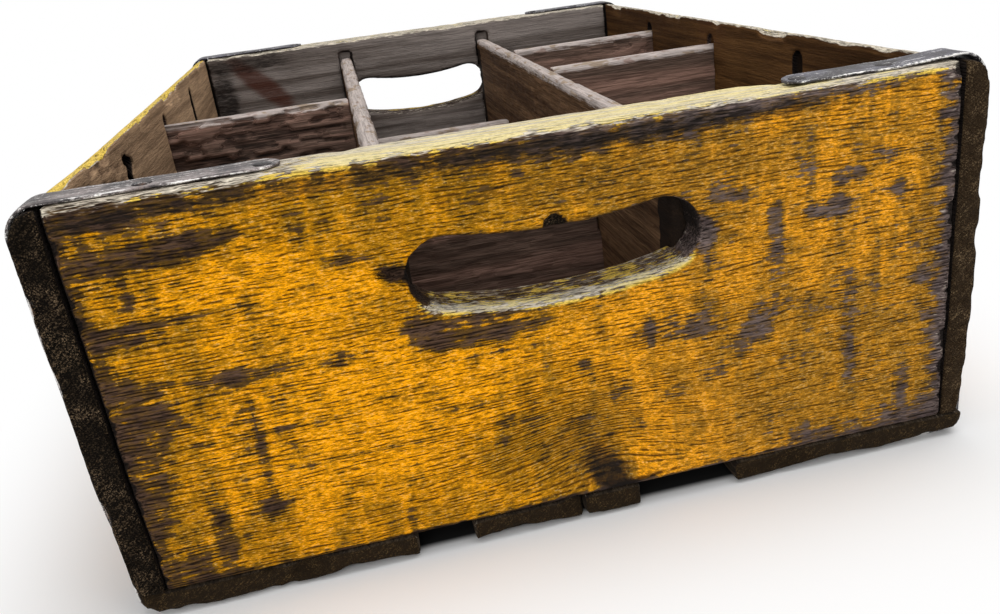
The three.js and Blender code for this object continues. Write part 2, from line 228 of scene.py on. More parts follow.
class Wire:
    """A node socket that takes part in Python sums: each sum adds a Math node."""

    def __init__(self, tree, socket=None):
        self.tree = tree
        self.socket = socket

    def node(self, kind, sockets=None, output=0, **settings):
        """Adds a node: first its settings, then the values or links of its sockets."""
        made = self.tree.nodes.new(kind)
        for key, value in settings.items():
            setattr(made, key, value)
        for key, value in (sockets or {}).items():
            if isinstance(value, Wire):
                self.tree.links.new(value.socket, made.inputs[key])
            else:
                made.inputs[key].default_value = value
        return Wire(self.tree, made.outputs[output]) if len(made.outputs) else None

    def maths(self, operation, *others):
        """A Math node of that operation on this socket and others."""
        return self.node("ShaderNodeMath", dict(enumerate((self, *others))), operation=operation)

    def __add__(self, other):
        return self.maths("ADD", other)

    def __sub__(self, other):
        return self.maths("SUBTRACT", other)

    def __rsub__(self, other):
        return self * -1.0 + other

    def __mul__(self, other):
        return self.maths("MULTIPLY", other)

    __radd__, __rmul__ = __add__, __mul__

    def ramp(self, low, high):
        """Rises smoothly from 0 at low to 1 at high."""
        return self.node(
            "ShaderNodeMapRange", {"Value": self, "From Min": low, "From Max": high},
            interpolation_type="SMOOTHSTEP")

    def blend(self, first, second):
        """The first colour where this is 0, the second where it is 1."""
        return self.node("ShaderNodeMix", {0: self, 6: first, 7: second}, 2, data_type="RGBA")

    def vector(self, operation, *values, output=0):
        """A Vector Math node of that operation."""
        return self.node("ShaderNodeVectorMath", dict(enumerate(values)), output, operation=operation)

    def scaled(self, vector, factor):
        """A vector or colour times a number."""
        return self.node("ShaderNodeVectorMath", {0: vector, "Scale": factor}, operation="SCALE")


SEED_STEP = (17.31, 5.77, 11.93)


def noise(place, scale, detail, rough=0.5, bend=0.0):
    """Noise of that scale, broken more finely with more detail and roughness."""
    return place.node(
        "ShaderNodeTexNoise",
        {"Vector": place, "Scale": scale, "Detail": detail, "Roughness": rough, "Distortion": bend})


def streaks(place, axis, along, across, seed, detail=3.0, rough=0.55, bend=0.0):
    """Noise whose features run that many millimetres along a board's grain and across it."""
    scale = [1 / (across * MM)] * 3
    scale[axis] = 1 / (along * MM)
    shift = [step * seed for step in SEED_STEP]
    return noise(place.vector("MULTIPLY_ADD", place, scale, shift), 1.0, detail, rough, bend)


def new_material(name):
    """An empty material, its wire, and the wire of its Object coordinates."""
    material = bpy.data.materials.new(name)
    material.use_nodes = True
    material.node_tree.nodes.clear()
    wire = Wire(material.node_tree)
    return material, wire, wire.node("ShaderNodeTexCoord", output="Object")


def finish_material(wire, colour, roughness, height, depth, metallic, specular):
    """Joins colour, roughness and a height into the material's surface."""
    bump = wire.node("ShaderNodeBump", {"Strength": 1.0, "Distance": depth, "Height": height})
    shader = wire.node(
        "ShaderNodeBsdfPrincipled",
        {"Base Color": colour, "Roughness": roughness, "Metallic": metallic,
         "Specular IOR Level": specular, "Normal": bump})
    wire.node("ShaderNodeOutputMaterial", {"Surface": shader})


def trait(wire, name):
    """A value that the piece's own mesh carries."""
    return wire.node("ShaderNodeAttribute", output="Fac", attribute_name=name)


def grain_and_ridge_shade(wire, colour, ridge, low, high):
    """A colour that is darker in the hollows of the grain and lighter on its ridges, by those factors: partly
    the wood's own grain and partly painted shade and painted highlight that follow the bumped relief.
    """
    gain = ridge.ramp(0.39, 0.61) * (high - low) + low
    colour = colour if isinstance(colour, Wire) else colour[:3]
    return wire.scaled(colour, gain)


ROUGH_GAIN, SAWN_GAIN, SMOOTH_GAIN = (0.5, 1.4), (0.7, 1.25), (0.84, 1.14)


def bare_wood(wire, place, axis, mid, dark, finish, seed, along, gain):
    """The colour of bare weathered wood, and the fine ridges and strands that its relief follows."""
    ridge = streaks(place, axis, along, 0.85, seed + 1, 2.0, 0.85, 0.5)
    strand = streaks(place, axis, 120, 2.2, seed + 2, 3.0, 0.55, 0.2)
    band = streaks(place, axis, 200, 11, seed + 3, 2.0, 0.5, 0.6)
    stain = streaks(place, axis, 70, 28, seed + 4, 4.0, 0.6)
    wood = (band * 0.6 + strand * 0.4).ramp(0.38, 0.62).blend(dark, mid)
    wood = (stain.ramp(0.5, 0.72) * 0.5).blend(wood, dark)
    wood = (strand.ramp(0.6, 0.7) * 0.5).blend(wood, finish.wood_grain)
    return grain_and_ridge_shade(wire, wood, ridge, *gain), ridge, strand


ROW_PITCH = 1.35 * MM


def grain_rows(wire, place, axis, seed):
    """Weathered rows along the grain: 0 in a hollow to 1 on a ridge, and 1 in the open cracks, else 0."""
    across = [0.8 / ROW_PITCH, 0.8 / ROW_PITCH, 1 / ROW_PITCH]
    across[axis] = 0.0
    sway = streaks(place, axis, 60, 9, seed + 10, 2.0, 0.5)
    row = place.vector("DOT_PRODUCT", place, across, output=1) + sway * 5.0
    height = row.maths("PINGPONG", 0.5) * 2.0
    here = streaks(place, axis, 5.5, 1.3, seed + 12, 2.0) + trait(wire, "raised") * 0.14
    return height, height.ramp(0.5, 0.1) * here.ramp(0.5, 0.62)


SAW_SLANT = math.radians(40)


def end_grain(wire, place, cut, seed):
    """The colour of a board's sawn end, soaked dark with dry fibres, and its relief."""
    pore, patch = noise(place, 1900.0 + seed, 3.0, 0.7), noise(place, 110.0 + seed, 3.0)
    slant = wire.node("ShaderNodeMapping", {"Vector": place, "Rotation": (0.0, SAW_SLANT, 0.0)})
    saw = streaks(slant, 0, 7, 0.7, seed + 11, 3.0, 0.65)
    dry = (pore * 0.7 + saw * 0.3).ramp(0.48, 0.68) * (0.2 + patch.ramp(0.38, 0.66) * 0.8)
    return dry.blend(*cut), pore * 0.6 + saw


KNOT_PLACE = (11 * MM, 0.0, 12 * MM)
KNOT_SPREAD = (1 / (28 * MM), 0.0, 1 / (24 * MM))
KNOT_SWELL = 0.8


def round_knot(wire, place):
    """Coordinates whose grain bends round a knot."""
    away = wire.vector("SUBTRACT", place, KNOT_PLACE)
    far = wire.vector("LENGTH", wire.vector("MULTIPLY", away, KNOT_SPREAD), output=1)
    near = (far * far * -1.0).maths("EXPONENT")
    pull = wire.node("ShaderNodeCombineXYZ", {2: near * -KNOT_SWELL})
    return wire.vector("MULTIPLY_ADD", away, pull, place)


def painted(wire, place, straight, axis, finish, seed, wood, ridge, strand, flake, height):
    """Worn brushed paint over wood: the colour, where there is paint, and its relief."""
    paint, tone, worn = (trait(wire, name) for name in ("paint", "tone", "pale"))
    patch = streaks(place, axis, 17, 8, seed + 6, 4.0, 0.6)
    blotch = streaks(place, axis, 13, 9, seed + 7, 4.0, 0.65)
    grit = streaks(place, axis, 1.4, 0.42, seed + 8, 2.0, 0.7)
    column = streaks(straight, 2, 30, 5, seed + 9, 3.0, 0.6)
    chip = streaks(place, axis, 4.5, 1.1, seed + 14, 3.0, 0.6)
    drips = (column - 0.5) * (1.0 if axis == 0 else 0.4)
    uneven = (patch - 0.5) * 1.1 + drips * 0.9 + (flake - 0.5) * 1.0 + (chip - 0.5) * 1.1
    cover = paint + (uneven + (height - 0.5) * 0.2) * paint.ramp(0.0, 0.2)
    mask = cover.ramp(0.4, 0.46)
    shade = tone + (blotch - 0.5) * 2.0 + (flake - 0.5) * 0.7 + drips * 1.2
    coat = shade.ramp(-0.15, 0.85).blend(finish.paint_ochre, finish.paint_bright)
    coat = (cover.ramp(0.85, 0.42) * 0.75).blend(coat, finish.paint_olive)
    coat = (trait(wire, "silver") * 0.09).blend(coat, finish.silver_mid)
    coat = worn.ramp(0.1, 0.45).blend(coat, finish.paint_lemon)
    coat = (worn.ramp(0.45, 0.85) * 0.95).blend(coat, finish.paint_straw)
    coat = (worn.ramp(0.5, 0.9) * strand.ramp(0.47, 0.6) * 0.8).blend(coat, finish.wood_grey)
    swing = 0.52 - worn.ramp(0.2, 0.8) * 0.36
    # Painted shade in the hollows and painted highlight on the ridges, with the paint's own grain
    coat = grain_and_ridge_shade(wire, coat, ridge * 0.35 + grit * 0.65, 1 - swing * 0.9, 1 + swing * 0.82)
    # Small painted glints in the straw colour
    coat = (grit.ramp(0.58, 0.72) * 0.35).blend(coat, finish.paint_straw)
    thin = (cover.ramp(0.02, 0.42) * 0.35).blend(wood, finish.paint_olive)
    return mask.blend(thin, coat), mask, mask * 0.4 + grit * 0.5


def shades(finish, *names):
    """Colours of the finish by name."""
    return [getattr(finish, name) for name in names]


def board_material(name, axis, finish, seed, wood, cut, inside=None, knot=False, pale="wood_grey"):
    """Weathered board: bare wood, worn paint if its inside differs, greyed edges, end grain, dirt and painted
    shade.
    """
    material, wire, straight = new_material(name)
    place = round_knot(wire, straight) if knot else straight
    along, gain = (6.5, ROUGH_GAIN) if inside else (22, SAWN_GAIN)
    mid, dark, pale = shades(finish, wood + "_mid", wood + "_dark", pale)
    if inside:
        silver = trait(wire, "silver")
        mid, dark = silver.blend(mid, finish.silver_mid), silver.blend(dark, finish.silver_dark)
    wood, ridge, strand = bare_wood(wire, place, axis, mid, dark, finish, seed, along, gain)
    flake = streaks(place, axis, 8, 2.0, seed + 5, 5.0, 0.65)
    relief = ridge * 1.3 + strand * 0.5
    roughness = 0.72 + ridge * 0.25
    worn = trait(wire, "pale")
    colour = wood
    pale_gain = (0.75, 1.1)
    if inside:
        within = trait(wire, "inside")
        mid, dark = shades(finish, inside + "_mid", inside + "_dark")
        hidden = bare_wood(wire, place, axis, mid, dark, finish, seed + 30, 22, SMOOTH_GAIN)[0]
        spilt = trait(wire, "spill") + (flake - 0.5) * 0.6 + (strand - 0.5) * 0.5
        hidden = (spilt.ramp(0.1, 1.1) * 0.85).blend(hidden, finish.stain)
        wood = within.blend(wood, hidden)
        height, crack = grain_rows(wire, place, axis, seed)
        colour, mask, brushed = painted(
            wire, place, straight, axis, finish, seed, wood, ridge, strand, flake, height)
        # Painted shade in the open cracks of the grain, which the bump also sinks
        split = crack * (1 - within) * (1 - worn * 0.6)
        colour = (split * 0.85).blend(colour, mask.blend(finish.wood_grain, finish.paint_deep))
        roughness = roughness - mask * 0.3
        relief = relief + brushed + height * (0.5 - within * 0.4) - split * 0.8
        worn = worn * (1 - mask * 0.75)
        pale_gain = gain
    else:
        spot = streaks(place, axis, 14, 6, seed + 13, 3.0, 0.6)
        pale = (spot.ramp(0.55, 0.63) * 0.65).blend(pale, finish.right_dry)
        pale = (spot.ramp(0.44, 0.34) * 0.65).blend(pale, mid)
    grey = (worn + (flake - 0.5) * 0.9 + (ridge - 0.5) * 1.2).ramp(0.35, 0.75)
    colour = (grey * 0.92).blend(colour, grain_and_ridge_shade(wire, pale, ridge, *pale_gain))
    # Darkening towards the dark grime colour: real grime, and painted shade where the pieces mark it
    dirt_and_shade_mask = trait(wire, "soot") + (flake - 0.5) * 0.6 + (ridge - 0.5) * -0.9
    colour = (dirt_and_shade_mask.ramp(0.2, 0.9) * 0.92).blend(colour, finish.soot)
    sawn, pore = end_grain(wire, straight, shades(finish, cut + "_cut", cut + "_dry"), seed)
    end = trait(wire, "cut")
    colour = end.ramp(0.35, 0.7).blend(colour, sawn)
    relief = relief + end * pore * 1.8
    finish_material(wire, colour, roughness, relief, 0.5 * MM, 0.0, 0.05)
    return material


def steel_material(name, finish, rusty, mid):
    """Steel of that colour with dark scale, rust, bright scuffs and a painted highlight on the rubbed edges
    of the front straps.
    """
    material, wire, place = new_material(name)
    cloud, grit = noise(place, 90.0, 5.0, 0.6), noise(place, 800.0, 4.0, 0.7)
    level, upright = (streaks(place, axis, 16, 0.8, 21 + axis, 3.0, 0.65) for axis in (0, 2))
    scratch = level + (upright - level) * trait(wire, "upright")
    worn = (cloud * 0.45 + grit * 0.2 + scratch * 0.35).ramp(0.42, 0.58)
    colour = worn.blend(finish.strap_dark, mid)
    rust = (cloud * 0.6 + grit * 0.4).ramp(0.58 - 0.1 * rusty, 0.72 - 0.08 * rusty) * 0.75
    colour = rust.blend(colour, finish.rust)
    # Bright scuffs along scratches, and a painted highlight on the front straps' band edges
    bright = (scratch * 0.6 + grit * 0.4 + trait(wire, "rubbed") * 0.08).ramp(0.56, 0.63)
    colour = (bright * 0.85).blend(colour, finish.scuff)
    pits = (grit * 0.6 + scratch * 0.4).ramp(0.45, 0.38)
    colour = (pits * 0.8).blend(colour, finish.strap_dark)
    roughness = 0.4 + grit * 0.28 - bright * 0.14
    finish_material(wire, colour, roughness, cloud * 0.7 + grit * 0.4 + scratch * 0.5, 0.35 * MM, 0.35, 0.5)
    return material


# Shapes in mesh code. Places are in millimetres there

CELL_FACTORS = (374761393, 668265263, 1442695041, 97531)
WORD = 0xFFFFFFFF


def cell_value(cells, seed):
    """A repeatable number from 0 to 1 for each whole-number cell."""
    mixed = (cells * np.array(CELL_FACTORS[:3])).sum(axis=1) + seed * CELL_FACTORS[3]
    mixed &= WORD
    mixed = ((mixed ^ (mixed >> 13)) * 1274126177) & WORD
    mixed ^= mixed >> 16
    return (mixed & 0xFFFF) / 0xFFFF


def rough_noise(places, size, seed, octaves=1):
    """Smooth noise from 0 to 1 whose features have that size along x, y and z."""
    total, weight = np.zeros(len(places)), 0.0
    for octave in range(octaves):
        spread = places / np.array(size, float) * 2 ** octave
        low = np.floor(spread).astype(np.int64)
        part = spread - low
        part = part * part * (3 - 2 * part)
        layer = np.zeros(len(places))
        for corner in np.ndindex(2, 2, 2):
            share = np.prod(np.where(corner, part, 1 - part), axis=1)
            layer += share * cell_value(low + np.array(corner), seed + octave)
        total += layer * 0.5 ** octave
        weight += 0.5 ** octave
    return total / weight


def step_up(values, low, high):
    """Rises smoothly from 0 at low to 1 at high."""
    share = np.clip((values - low) / (high - low), 0, 1)
    return share * share * (3 - 2 * share)


def step_down(values, low, high):
    """Falls smoothly from 1 at low to 0 at high."""
    return 1 - step_up(values, low, high)


def most(*values):
    """The greatest of several values at each point."""
    return np.maximum.reduce(values)


def rough(places, size, seed, octaves, low, high):
    """Rough noise that is 0 under low and 1 over high."""
    return step_up(rough_noise(places, size, seed, octaves), low, high)


def near_rim(height, start, full):
    """Rises from 0 to 1 between those distances below the rim."""
    return step_up(height, RIM - start, RIM - full)


def near_end(along, start, full):
    """Rises from 0 to 1 between those distances from the crate's ends."""
    return step_up(np.abs(along), HALF_LENGTH - start, HALF_LENGTH - full)


def spot(across, up, centre, half, flat=0.55, end=1.35):
    """1 at a patch's centre, falling to 0 past its half sizes, with a flat middle."""
    far = np.hypot((across - centre[0]) / half[0], (up - centre[1]) / half[1])
    return step_down(far, flat, end)


def spots(across, up, rows):
    """The sum of soft patches, each a middle across and up, a half width and height, and a strength."""
    total = np.zeros(len(across))
    for x, z, half_x, half_z, strength in rows:
        total += strength * spot(across, up, (x, z), (half_x, half_z), 0.15, 1.45)
    return total


def link(name, data):
    """A new object for that mesh, lamp or camera, in the scene."""
    piece = bpy.data.objects.new(name, data)
    bpy.context.scene.collection.objects.link(piece)
    return piece


def settled(piece):
    """Turns a piece and its modifiers into one plain mesh."""
    bpy.context.view_layer.update()
    shown = piece.evaluated_get(bpy.context.evaluated_depsgraph_get())
    plain = bpy.data.meshes.new_from_object(shown)
    old = piece.data
    piece.modifiers.clear()
    piece.data = plain
    bpy.data.meshes.remove(old)
    plain.name = piece.name
    return piece


NAILS = sorted(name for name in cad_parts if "nail" in name)
PLUG_HALF = 1.8 * MM
PLUG_INSET = 0.3 * MM


def plug_bores(shape, node):
    """Fills the nail bores of a board, so that its wood is whole round each nail."""
    low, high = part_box(node)
    for nail in NAILS:
        nail_low, nail_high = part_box(nail)
        middle = (nail_low + nail_high) / 2
        axis = max(range(3), key=lambda i: nail_high[i] - nail_low[i])
        start = [middle[i] - PLUG_HALF for i in range(3)]
        end = [middle[i] + PLUG_HALF for i in range(3)]
        start[axis] = max(nail_low[axis] - PLUG_HALF, low[axis] + PLUG_INSET)
        end[axis] = min(nail_high[axis] + PLUG_HALF, high[axis] - PLUG_INSET)
        inside = all(low[i] < middle[i] < high[i] for i in range(3) if i != axis)
        if not inside or end[axis] <= start[axis]:
            continue
        centre = [(a + b) / 2 for a, b in zip(start, end)]
        size = [b - a for a, b in zip(start, end)]
        place = Matrix.Translation(centre) @ Matrix.Diagonal((*size, 1))
        bmesh.ops.create_cube(shape, size=1, matrix=place)


MERGE = 0.02 * MM


def even_board(node, mesh_size):
    """A copy of a packed board as an even mesh of small faces, and its points in millimetres."""
    name = "worn_" + node
    shape = bmesh.new()
    shape.from_mesh(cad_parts[node].data)
    bmesh.ops.remove_doubles(shape, verts=shape.verts, dist=MERGE)
    plug_bores(shape, node)
    mesh = bpy.data.meshes.new(name)
    shape.to_mesh(mesh)
    shape.free()
    board = link(name, mesh)
    remesh = board.modifiers.new("even", "REMESH")
    remesh.mode = "VOXEL"
    remesh.voxel_size = mesh_size * 1
    settled(board)
    return board, points_of(board.data)[0]


def points_of(mesh):
    """Places of a mesh's points, in millimetres, and their normals."""
    places = np.empty(len(mesh.vertices) * 3, np.float32)
    mesh.vertices.foreach_get("co", places)
    normals = np.empty(len(mesh.vertices) * 3, np.float32)
    mesh.vertex_normals.foreach_get("vector", normals)
    return places.reshape(-1, 3).astype(float) / MM, normals.reshape(-1, 3).astype(float)


def move_points(mesh, places):
    """Puts a mesh's points at places given in millimetres."""
    mesh.vertices.foreach_set("co", (places * MM).astype(np.float32).ravel())
    mesh.update()


TRAIT_MOST = 1.5


def write_traits(mesh, **traits):
    """Keeps values on the mesh, one per point under each name."""
    for name, values in traits.items():
        found = mesh.attributes.get(name) or mesh.attributes.new(name, "FLOAT", "POINT")
        each = np.broadcast_to(np.clip(values, 0, TRAIT_MOST), len(mesh.vertices))
        found.data.foreach_set("value", each.astype(np.float32))


def new_tree(name, sockets):
    """A Geometry Nodes tree with those inputs, the wire of its nodes, and its input wires by name."""
    tree = bpy.data.node_groups.new(name, "GeometryNodeTree")
    tree.interface.new_socket(name="Geometry", in_out="INPUT", socket_type="NodeSocketGeometry")
    for label, kind in sockets:
        tree.interface.new_socket(name=label, in_out="INPUT", socket_type="NodeSocket" + kind)
    tree.interface.new_socket(name="Geometry", in_out="OUTPUT", socket_type="NodeSocketGeometry")
    entry = tree.nodes.new("NodeGroupInput")
    return tree, Wire(tree), {socket.name: Wire(tree, socket) for socket in entry.outputs if socket.name}


def end_tree(wire, shape, material):
    """Ends a tree in Realize Instances and Set Material."""
    shape = wire.node("GeometryNodeRealizeInstances", {0: shape})
    shape = wire.node("GeometryNodeSetMaterial", {"Geometry": shape, "Material": material})
    wire.node("NodeGroupOutput", {0: shape})


def apply_tree(piece, tree, values):
    """Runs a tree on a piece with those inputs, and keeps the result as a plain mesh."""
    modifier = piece.modifiers.new(tree.name, "NODES")
    modifier.node_group = tree
    for socket in tree.interface.items_tree:
        if socket.in_out == "INPUT" and socket.name in values:
            modifier[socket.identifier] = values[socket.name]
    return settled(piece)


def weather_tree():
    """Wears a board: rubbed edges, weathered grain and knocks, and keeps how worn each edge is."""
    tree, wire, given = new_tree("weathered_board", [
        ("Rounding", "Int"), ("Edge wear", "Float"), ("Grain scale", "Vector"), ("Grain relief", "Float"),
        ("Dent depth", "Float"), ("Seed", "Vector"), ("Edge size", "Float"), ("Material", "Material")])
    place = wire.node("GeometryNodeInputPosition")
    normal = wire.node("GeometryNodeInputNormal")
    rub = wire.node("GeometryNodeInputNamedAttribute", {"Name": "rub"}, data_type="FLOAT")
    soft = wire.node(
        "GeometryNodeBlurAttribute", {"Value": place, "Iterations": given["Rounding"]},
        data_type="FLOAT_VECTOR")
    inward = wire.vector("SUBTRACT", soft, place)
    stand = wire.vector("DOT_PRODUCT", inward, normal, output=1) * -1.0
    edge = stand.maths("DIVIDE", given["Edge size"])
    shifted = wire.vector("ADD", place, given["Seed"])
    chip = noise(shifted, 95.0, 4.0, 0.6)
    bite = rub * (0.35 + chip.ramp(0.34, 0.66) * 0.75) * given["Edge wear"] * edge.ramp(0.02, 0.25)
    worn = wire.vector("ADD", wire.scaled(inward, bite), place)
    grain = noise(wire.vector("MULTIPLY", shifted, given["Grain scale"]), 1.0, 3.0)
    knock = noise(shifted, 60.0, 2.0)
    lift = (grain - 0.5) * given["Grain relief"] - knock.ramp(0.62, 0.8) * given["Dent depth"]
    lifted = wire.scaled(normal, lift)
    shape = wire.node(
        "GeometryNodeStoreNamedAttribute", {"Geometry": given["Geometry"], "Name": "edge", "Value": edge},
        data_type="FLOAT", domain="POINT")
    shape = wire.node("GeometryNodeSetPosition", {"Geometry": shape, "Position": worn, "Offset": lifted})
    shape = wire.node("GeometryNodeSetShadeSmooth", {"Geometry": shape})
    end_tree(wire, shape, given["Material"])
    return tree


FINE, FLAKE = 1.4, 30.0
EDGE_SIZE = 0.42 * MM


def weather(board, axis, rub, rounding, boards, material, seed):
    """Wears a board with its grain along that axis: its points, their normals, how worn each edge is."""
    write_traits(board.data, rub=rub)
    tree = bpy.data.node_groups.get("weathered_board") or weather_tree()
    scale = [1 / (FINE * MM)] * 3
    scale[axis] = 1 / (FLAKE * MM)
    mesh = apply_tree(board, tree, {
        "Rounding": rounding, "Edge wear": boards.edge_wear, "Grain scale": scale,
        "Grain relief": boards.grain_relief, "Dent depth": boards.dent_depth,
        "Seed": [(boards.seed + seed) * step * 0.1 for step in SEED_STEP],
        "Edge size": EDGE_SIZE * math.sqrt(rounding), "Material": material}).data
    edge = np.empty(len(mesh.vertices), np.float32)
    mesh.attributes["edge"].data.foreach_get("value", edge)
    places, normals = points_of(mesh)
    return places, normals.T, np.clip(edge.astype(float), 0, TRAIT_MOST)


def keep(piece, slot, *nodes):
    """Ties a finished piece to the frame."""
    for name in ("rub", "edge"):
        if name in piece.data.attributes:
            piece.data.attributes.remove(piece.data.attributes[name])
    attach(piece, BODY)
    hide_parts(*nodes)


# How far each strap has worked loose: shares of the side slack and of the lift at the rim
STRAP_SLACK = {
    "front_left": (1.0, 0.15), "front_right": (0.65, 1.0), "rear_left": (0.0, 0.0), "rear_right": (0.0, 0.0)}
# Which way each corner lies from the middle, across and along
CORNER_SIGNS = {"front_left": (-1, -1), "front_right": (1, -1), "rear_left": (-1, 1), "rear_right": (1, 1)}


def slack_at(height):
    """The share of a strap's slack at that height, in millimetres: none at its lower nail."""
    return 0.75 * step_up(height, 20, 60) + 0.25 * step_up(height, 80, 115)


def warp_of(corner, places, boards):
    """How far, in millimetres, a board's end has warped outwards at that corner."""
    along = places[:, 1]
    reach = step_up(np.abs(along), 120, HALF_LENGTH) * (np.sign(along) == CORNER_SIGNS[corner][1])
    return boards.warp / MM * STRAP_SLACK[corner][0] * slack_at(places[:, 2]) * reach


# Hand holes, in millimetres. The front one sits right of the centre line
HOLE_MIDDLE = PANEL_BOTTOM + 90.7
HOLE_HALF_WIDTH = 49.0
HOLE_HALF_HEIGHT = 12.2
HOLE_SAG = 3.6
HOLE_SHIFT = 1.4

# Bare patches of the near end panel: middle across, middle up, half width, half height, strength
FRONT_PATCHES = (
    (-141, 62, 9, 28, 0.75), (-133, 73, 13, 9, 0.65), (-143, 44, 6, 24, 0.6), (-147, 88, 6, 60, 0.5),
    (-124, 127, 29, 5, 0.65), (-107, 129, 11, 3, 0.45), (-138, 139, 15, 7, 0.5), (-118, 142, 36, 5, 0.5),
    (-122, 105.5, 30, 1.5, 0.6), (-136, 102, 15, 3.5, 0.35), (-136, 84.5, 16, 3, 0.5), (-105, 83, 8, 4, 0.65),
    (-130, 115, 2.4, 7, 0.5), (-104, 34, 8, 4, 0.65), (-103, 58, 1.8, 30, 0.4), (-122, 24, 3.6, 19, 0.6),
    (-136, 16, 16, 10, 0.42), (-60, 18, 2.2, 9, 0.6), (-78, 124, 3.5, 9, 0.38), (-67, 115, 10, 3.4, 0.42),
    (-76, 83, 10, 3.4, 0.45), (-92, 83, 7, 3, 0.38), (-27, 81.5, 23, 4.2, 0.85), (-45, 88, 7, 6, 0.55),
    (-28, 87.5, 27, 1.8, 0.6),
    (-84, 47, 40, 1.0, 0.35), (-52, 131, 2.4, 10, 0.3), (-20, 74, 20, 1.2, 0.3), (-95, 62, 30, 1.0, 0.3),
    (58, 117, 5, 7, 0.42), (66, 113, 9, 3, 0.38), (77, 96, 3.6, 15, 0.52), (104, 113, 8, 4, 0.52),
    (99, 103, 9, 5, 0.65), (121, 105, 5, 4, 0.45), (118, 118, 5, 4, 0.4), (88, 119, 7, 5, 0.32),
    (45, 69, 14, 7, 0.6), (64, 60, 10, 7, 0.5), (29, 70, 7, 7, 0.5), (72, 66, 9, 6, 0.5),
    (18, 50, 5, 6, 0.42), (38, 45, 7, 4, 0.4), (6, 61, 4, 5, 0.4), (52, 50, 6, 4, 0.4), (-18, 47, 9, 3, 0.35),
    (-30, 56, 12, 2, 0.3), (24, 36, 4, 7, 0.3), (82, 48, 5, 8, 0.3),
    (147, 78, 7, 82, 0.75), (90, 14, 14, 7, 0.42), (130, 14, 22, 7, 0.52), (75, 22, 3.5, 12, 0.32),
    (128, 32, 3.5, 24, 0.28), (105, 60, 5, 28, 0.22), (134, 71, 5, 4, 0.35), (30, 142, 110, 3.6, 0.6),
    (50, 138, 36, 4.5, 0.32), (-10, 138, 60, 5, 0.22), (54, 102, 5, 16, 0.4), (0, 10.5, 160, 1.8, 0.5),
    (-122, 80, 42, 80, 0.14), (110, 70, 58, 80, 0.15), (-60, 132, 100, 10, 0.14), (5, 128, 55, 10, 0.14),
    (-5, 36, 26, 16, 0.12))
# Places where its paint is brighter or darker, and by how much
FRONT_BRIGHT = (
    (-72, 60, 48, 24, 0.9), (-112, 113, 20, 5, 0.4), (0, 70, 40, 10, 0.2), (-72, 106, 40, 10, 0.15),
    (95, 108, 40, 12, 0.1), (26, 20, 5, 16, 0.6), (10, 127, 75, 17, -0.85), (-6, 36, 28, 16, -0.55),
    (-130, 60, 26, 60, -0.25), (-85, 22, 60, 14, -0.15), (52, 105, 10, 20, -0.5), (-20, 20, 60, 12, -0.2),
    (95, 40, 60, 36, -0.5), (140, 75, 12, 80, -0.4), (-60, 132, 80, 12, -0.3))
# Places where the weather has raised its grain most, and how much
FRONT_RAISED = (
    (-6, 38, 36, 26, 0.7), (-125, 75, 34, 75, 0.45), (-72, 60, 46, 24, -0.1), (10, 122, 60, 16, 0.15),
    (30, 70, 40, 20, 0.25), (145, 75, 12, 80, 0.5))
# Its knot at the lower edge and the dark wood over it
KNOT = (
    (15, 13, 8, 11, 1.2), (10, 24, 7, 10, 0.8), (3, 31, 12, 14, 0.4), (-6, 40, 18, 9, 0.35),
    (0, 18, 12, 11, 0.35))
# Places where its paint is made darker, and how much
FRONT_DARKENED = ((16, 128, 76, 14, 0.4), (95, 45, 60, 40, 0.06), (52, 105, 9, 20, 0.2))


def hole_height(across):
    """Middle of the hand hole's curve at those places across from its own middle."""
    reach = HOLE_HALF_WIDTH - HOLE_HALF_HEIGHT
    radius = (reach ** 2 + HOLE_SAG ** 2) / (2 * HOLE_SAG)
    return HOLE_MIDDLE + radius - np.sqrt(np.maximum(radius ** 2 - across ** 2, 1))


# How far a normal has turned to a side, to the top or to a board's end where wear starts and is full
FACING, UPWARD, SAWN = (0.3, 0.75), (0.35, 0.8), (0.5, 0.85)


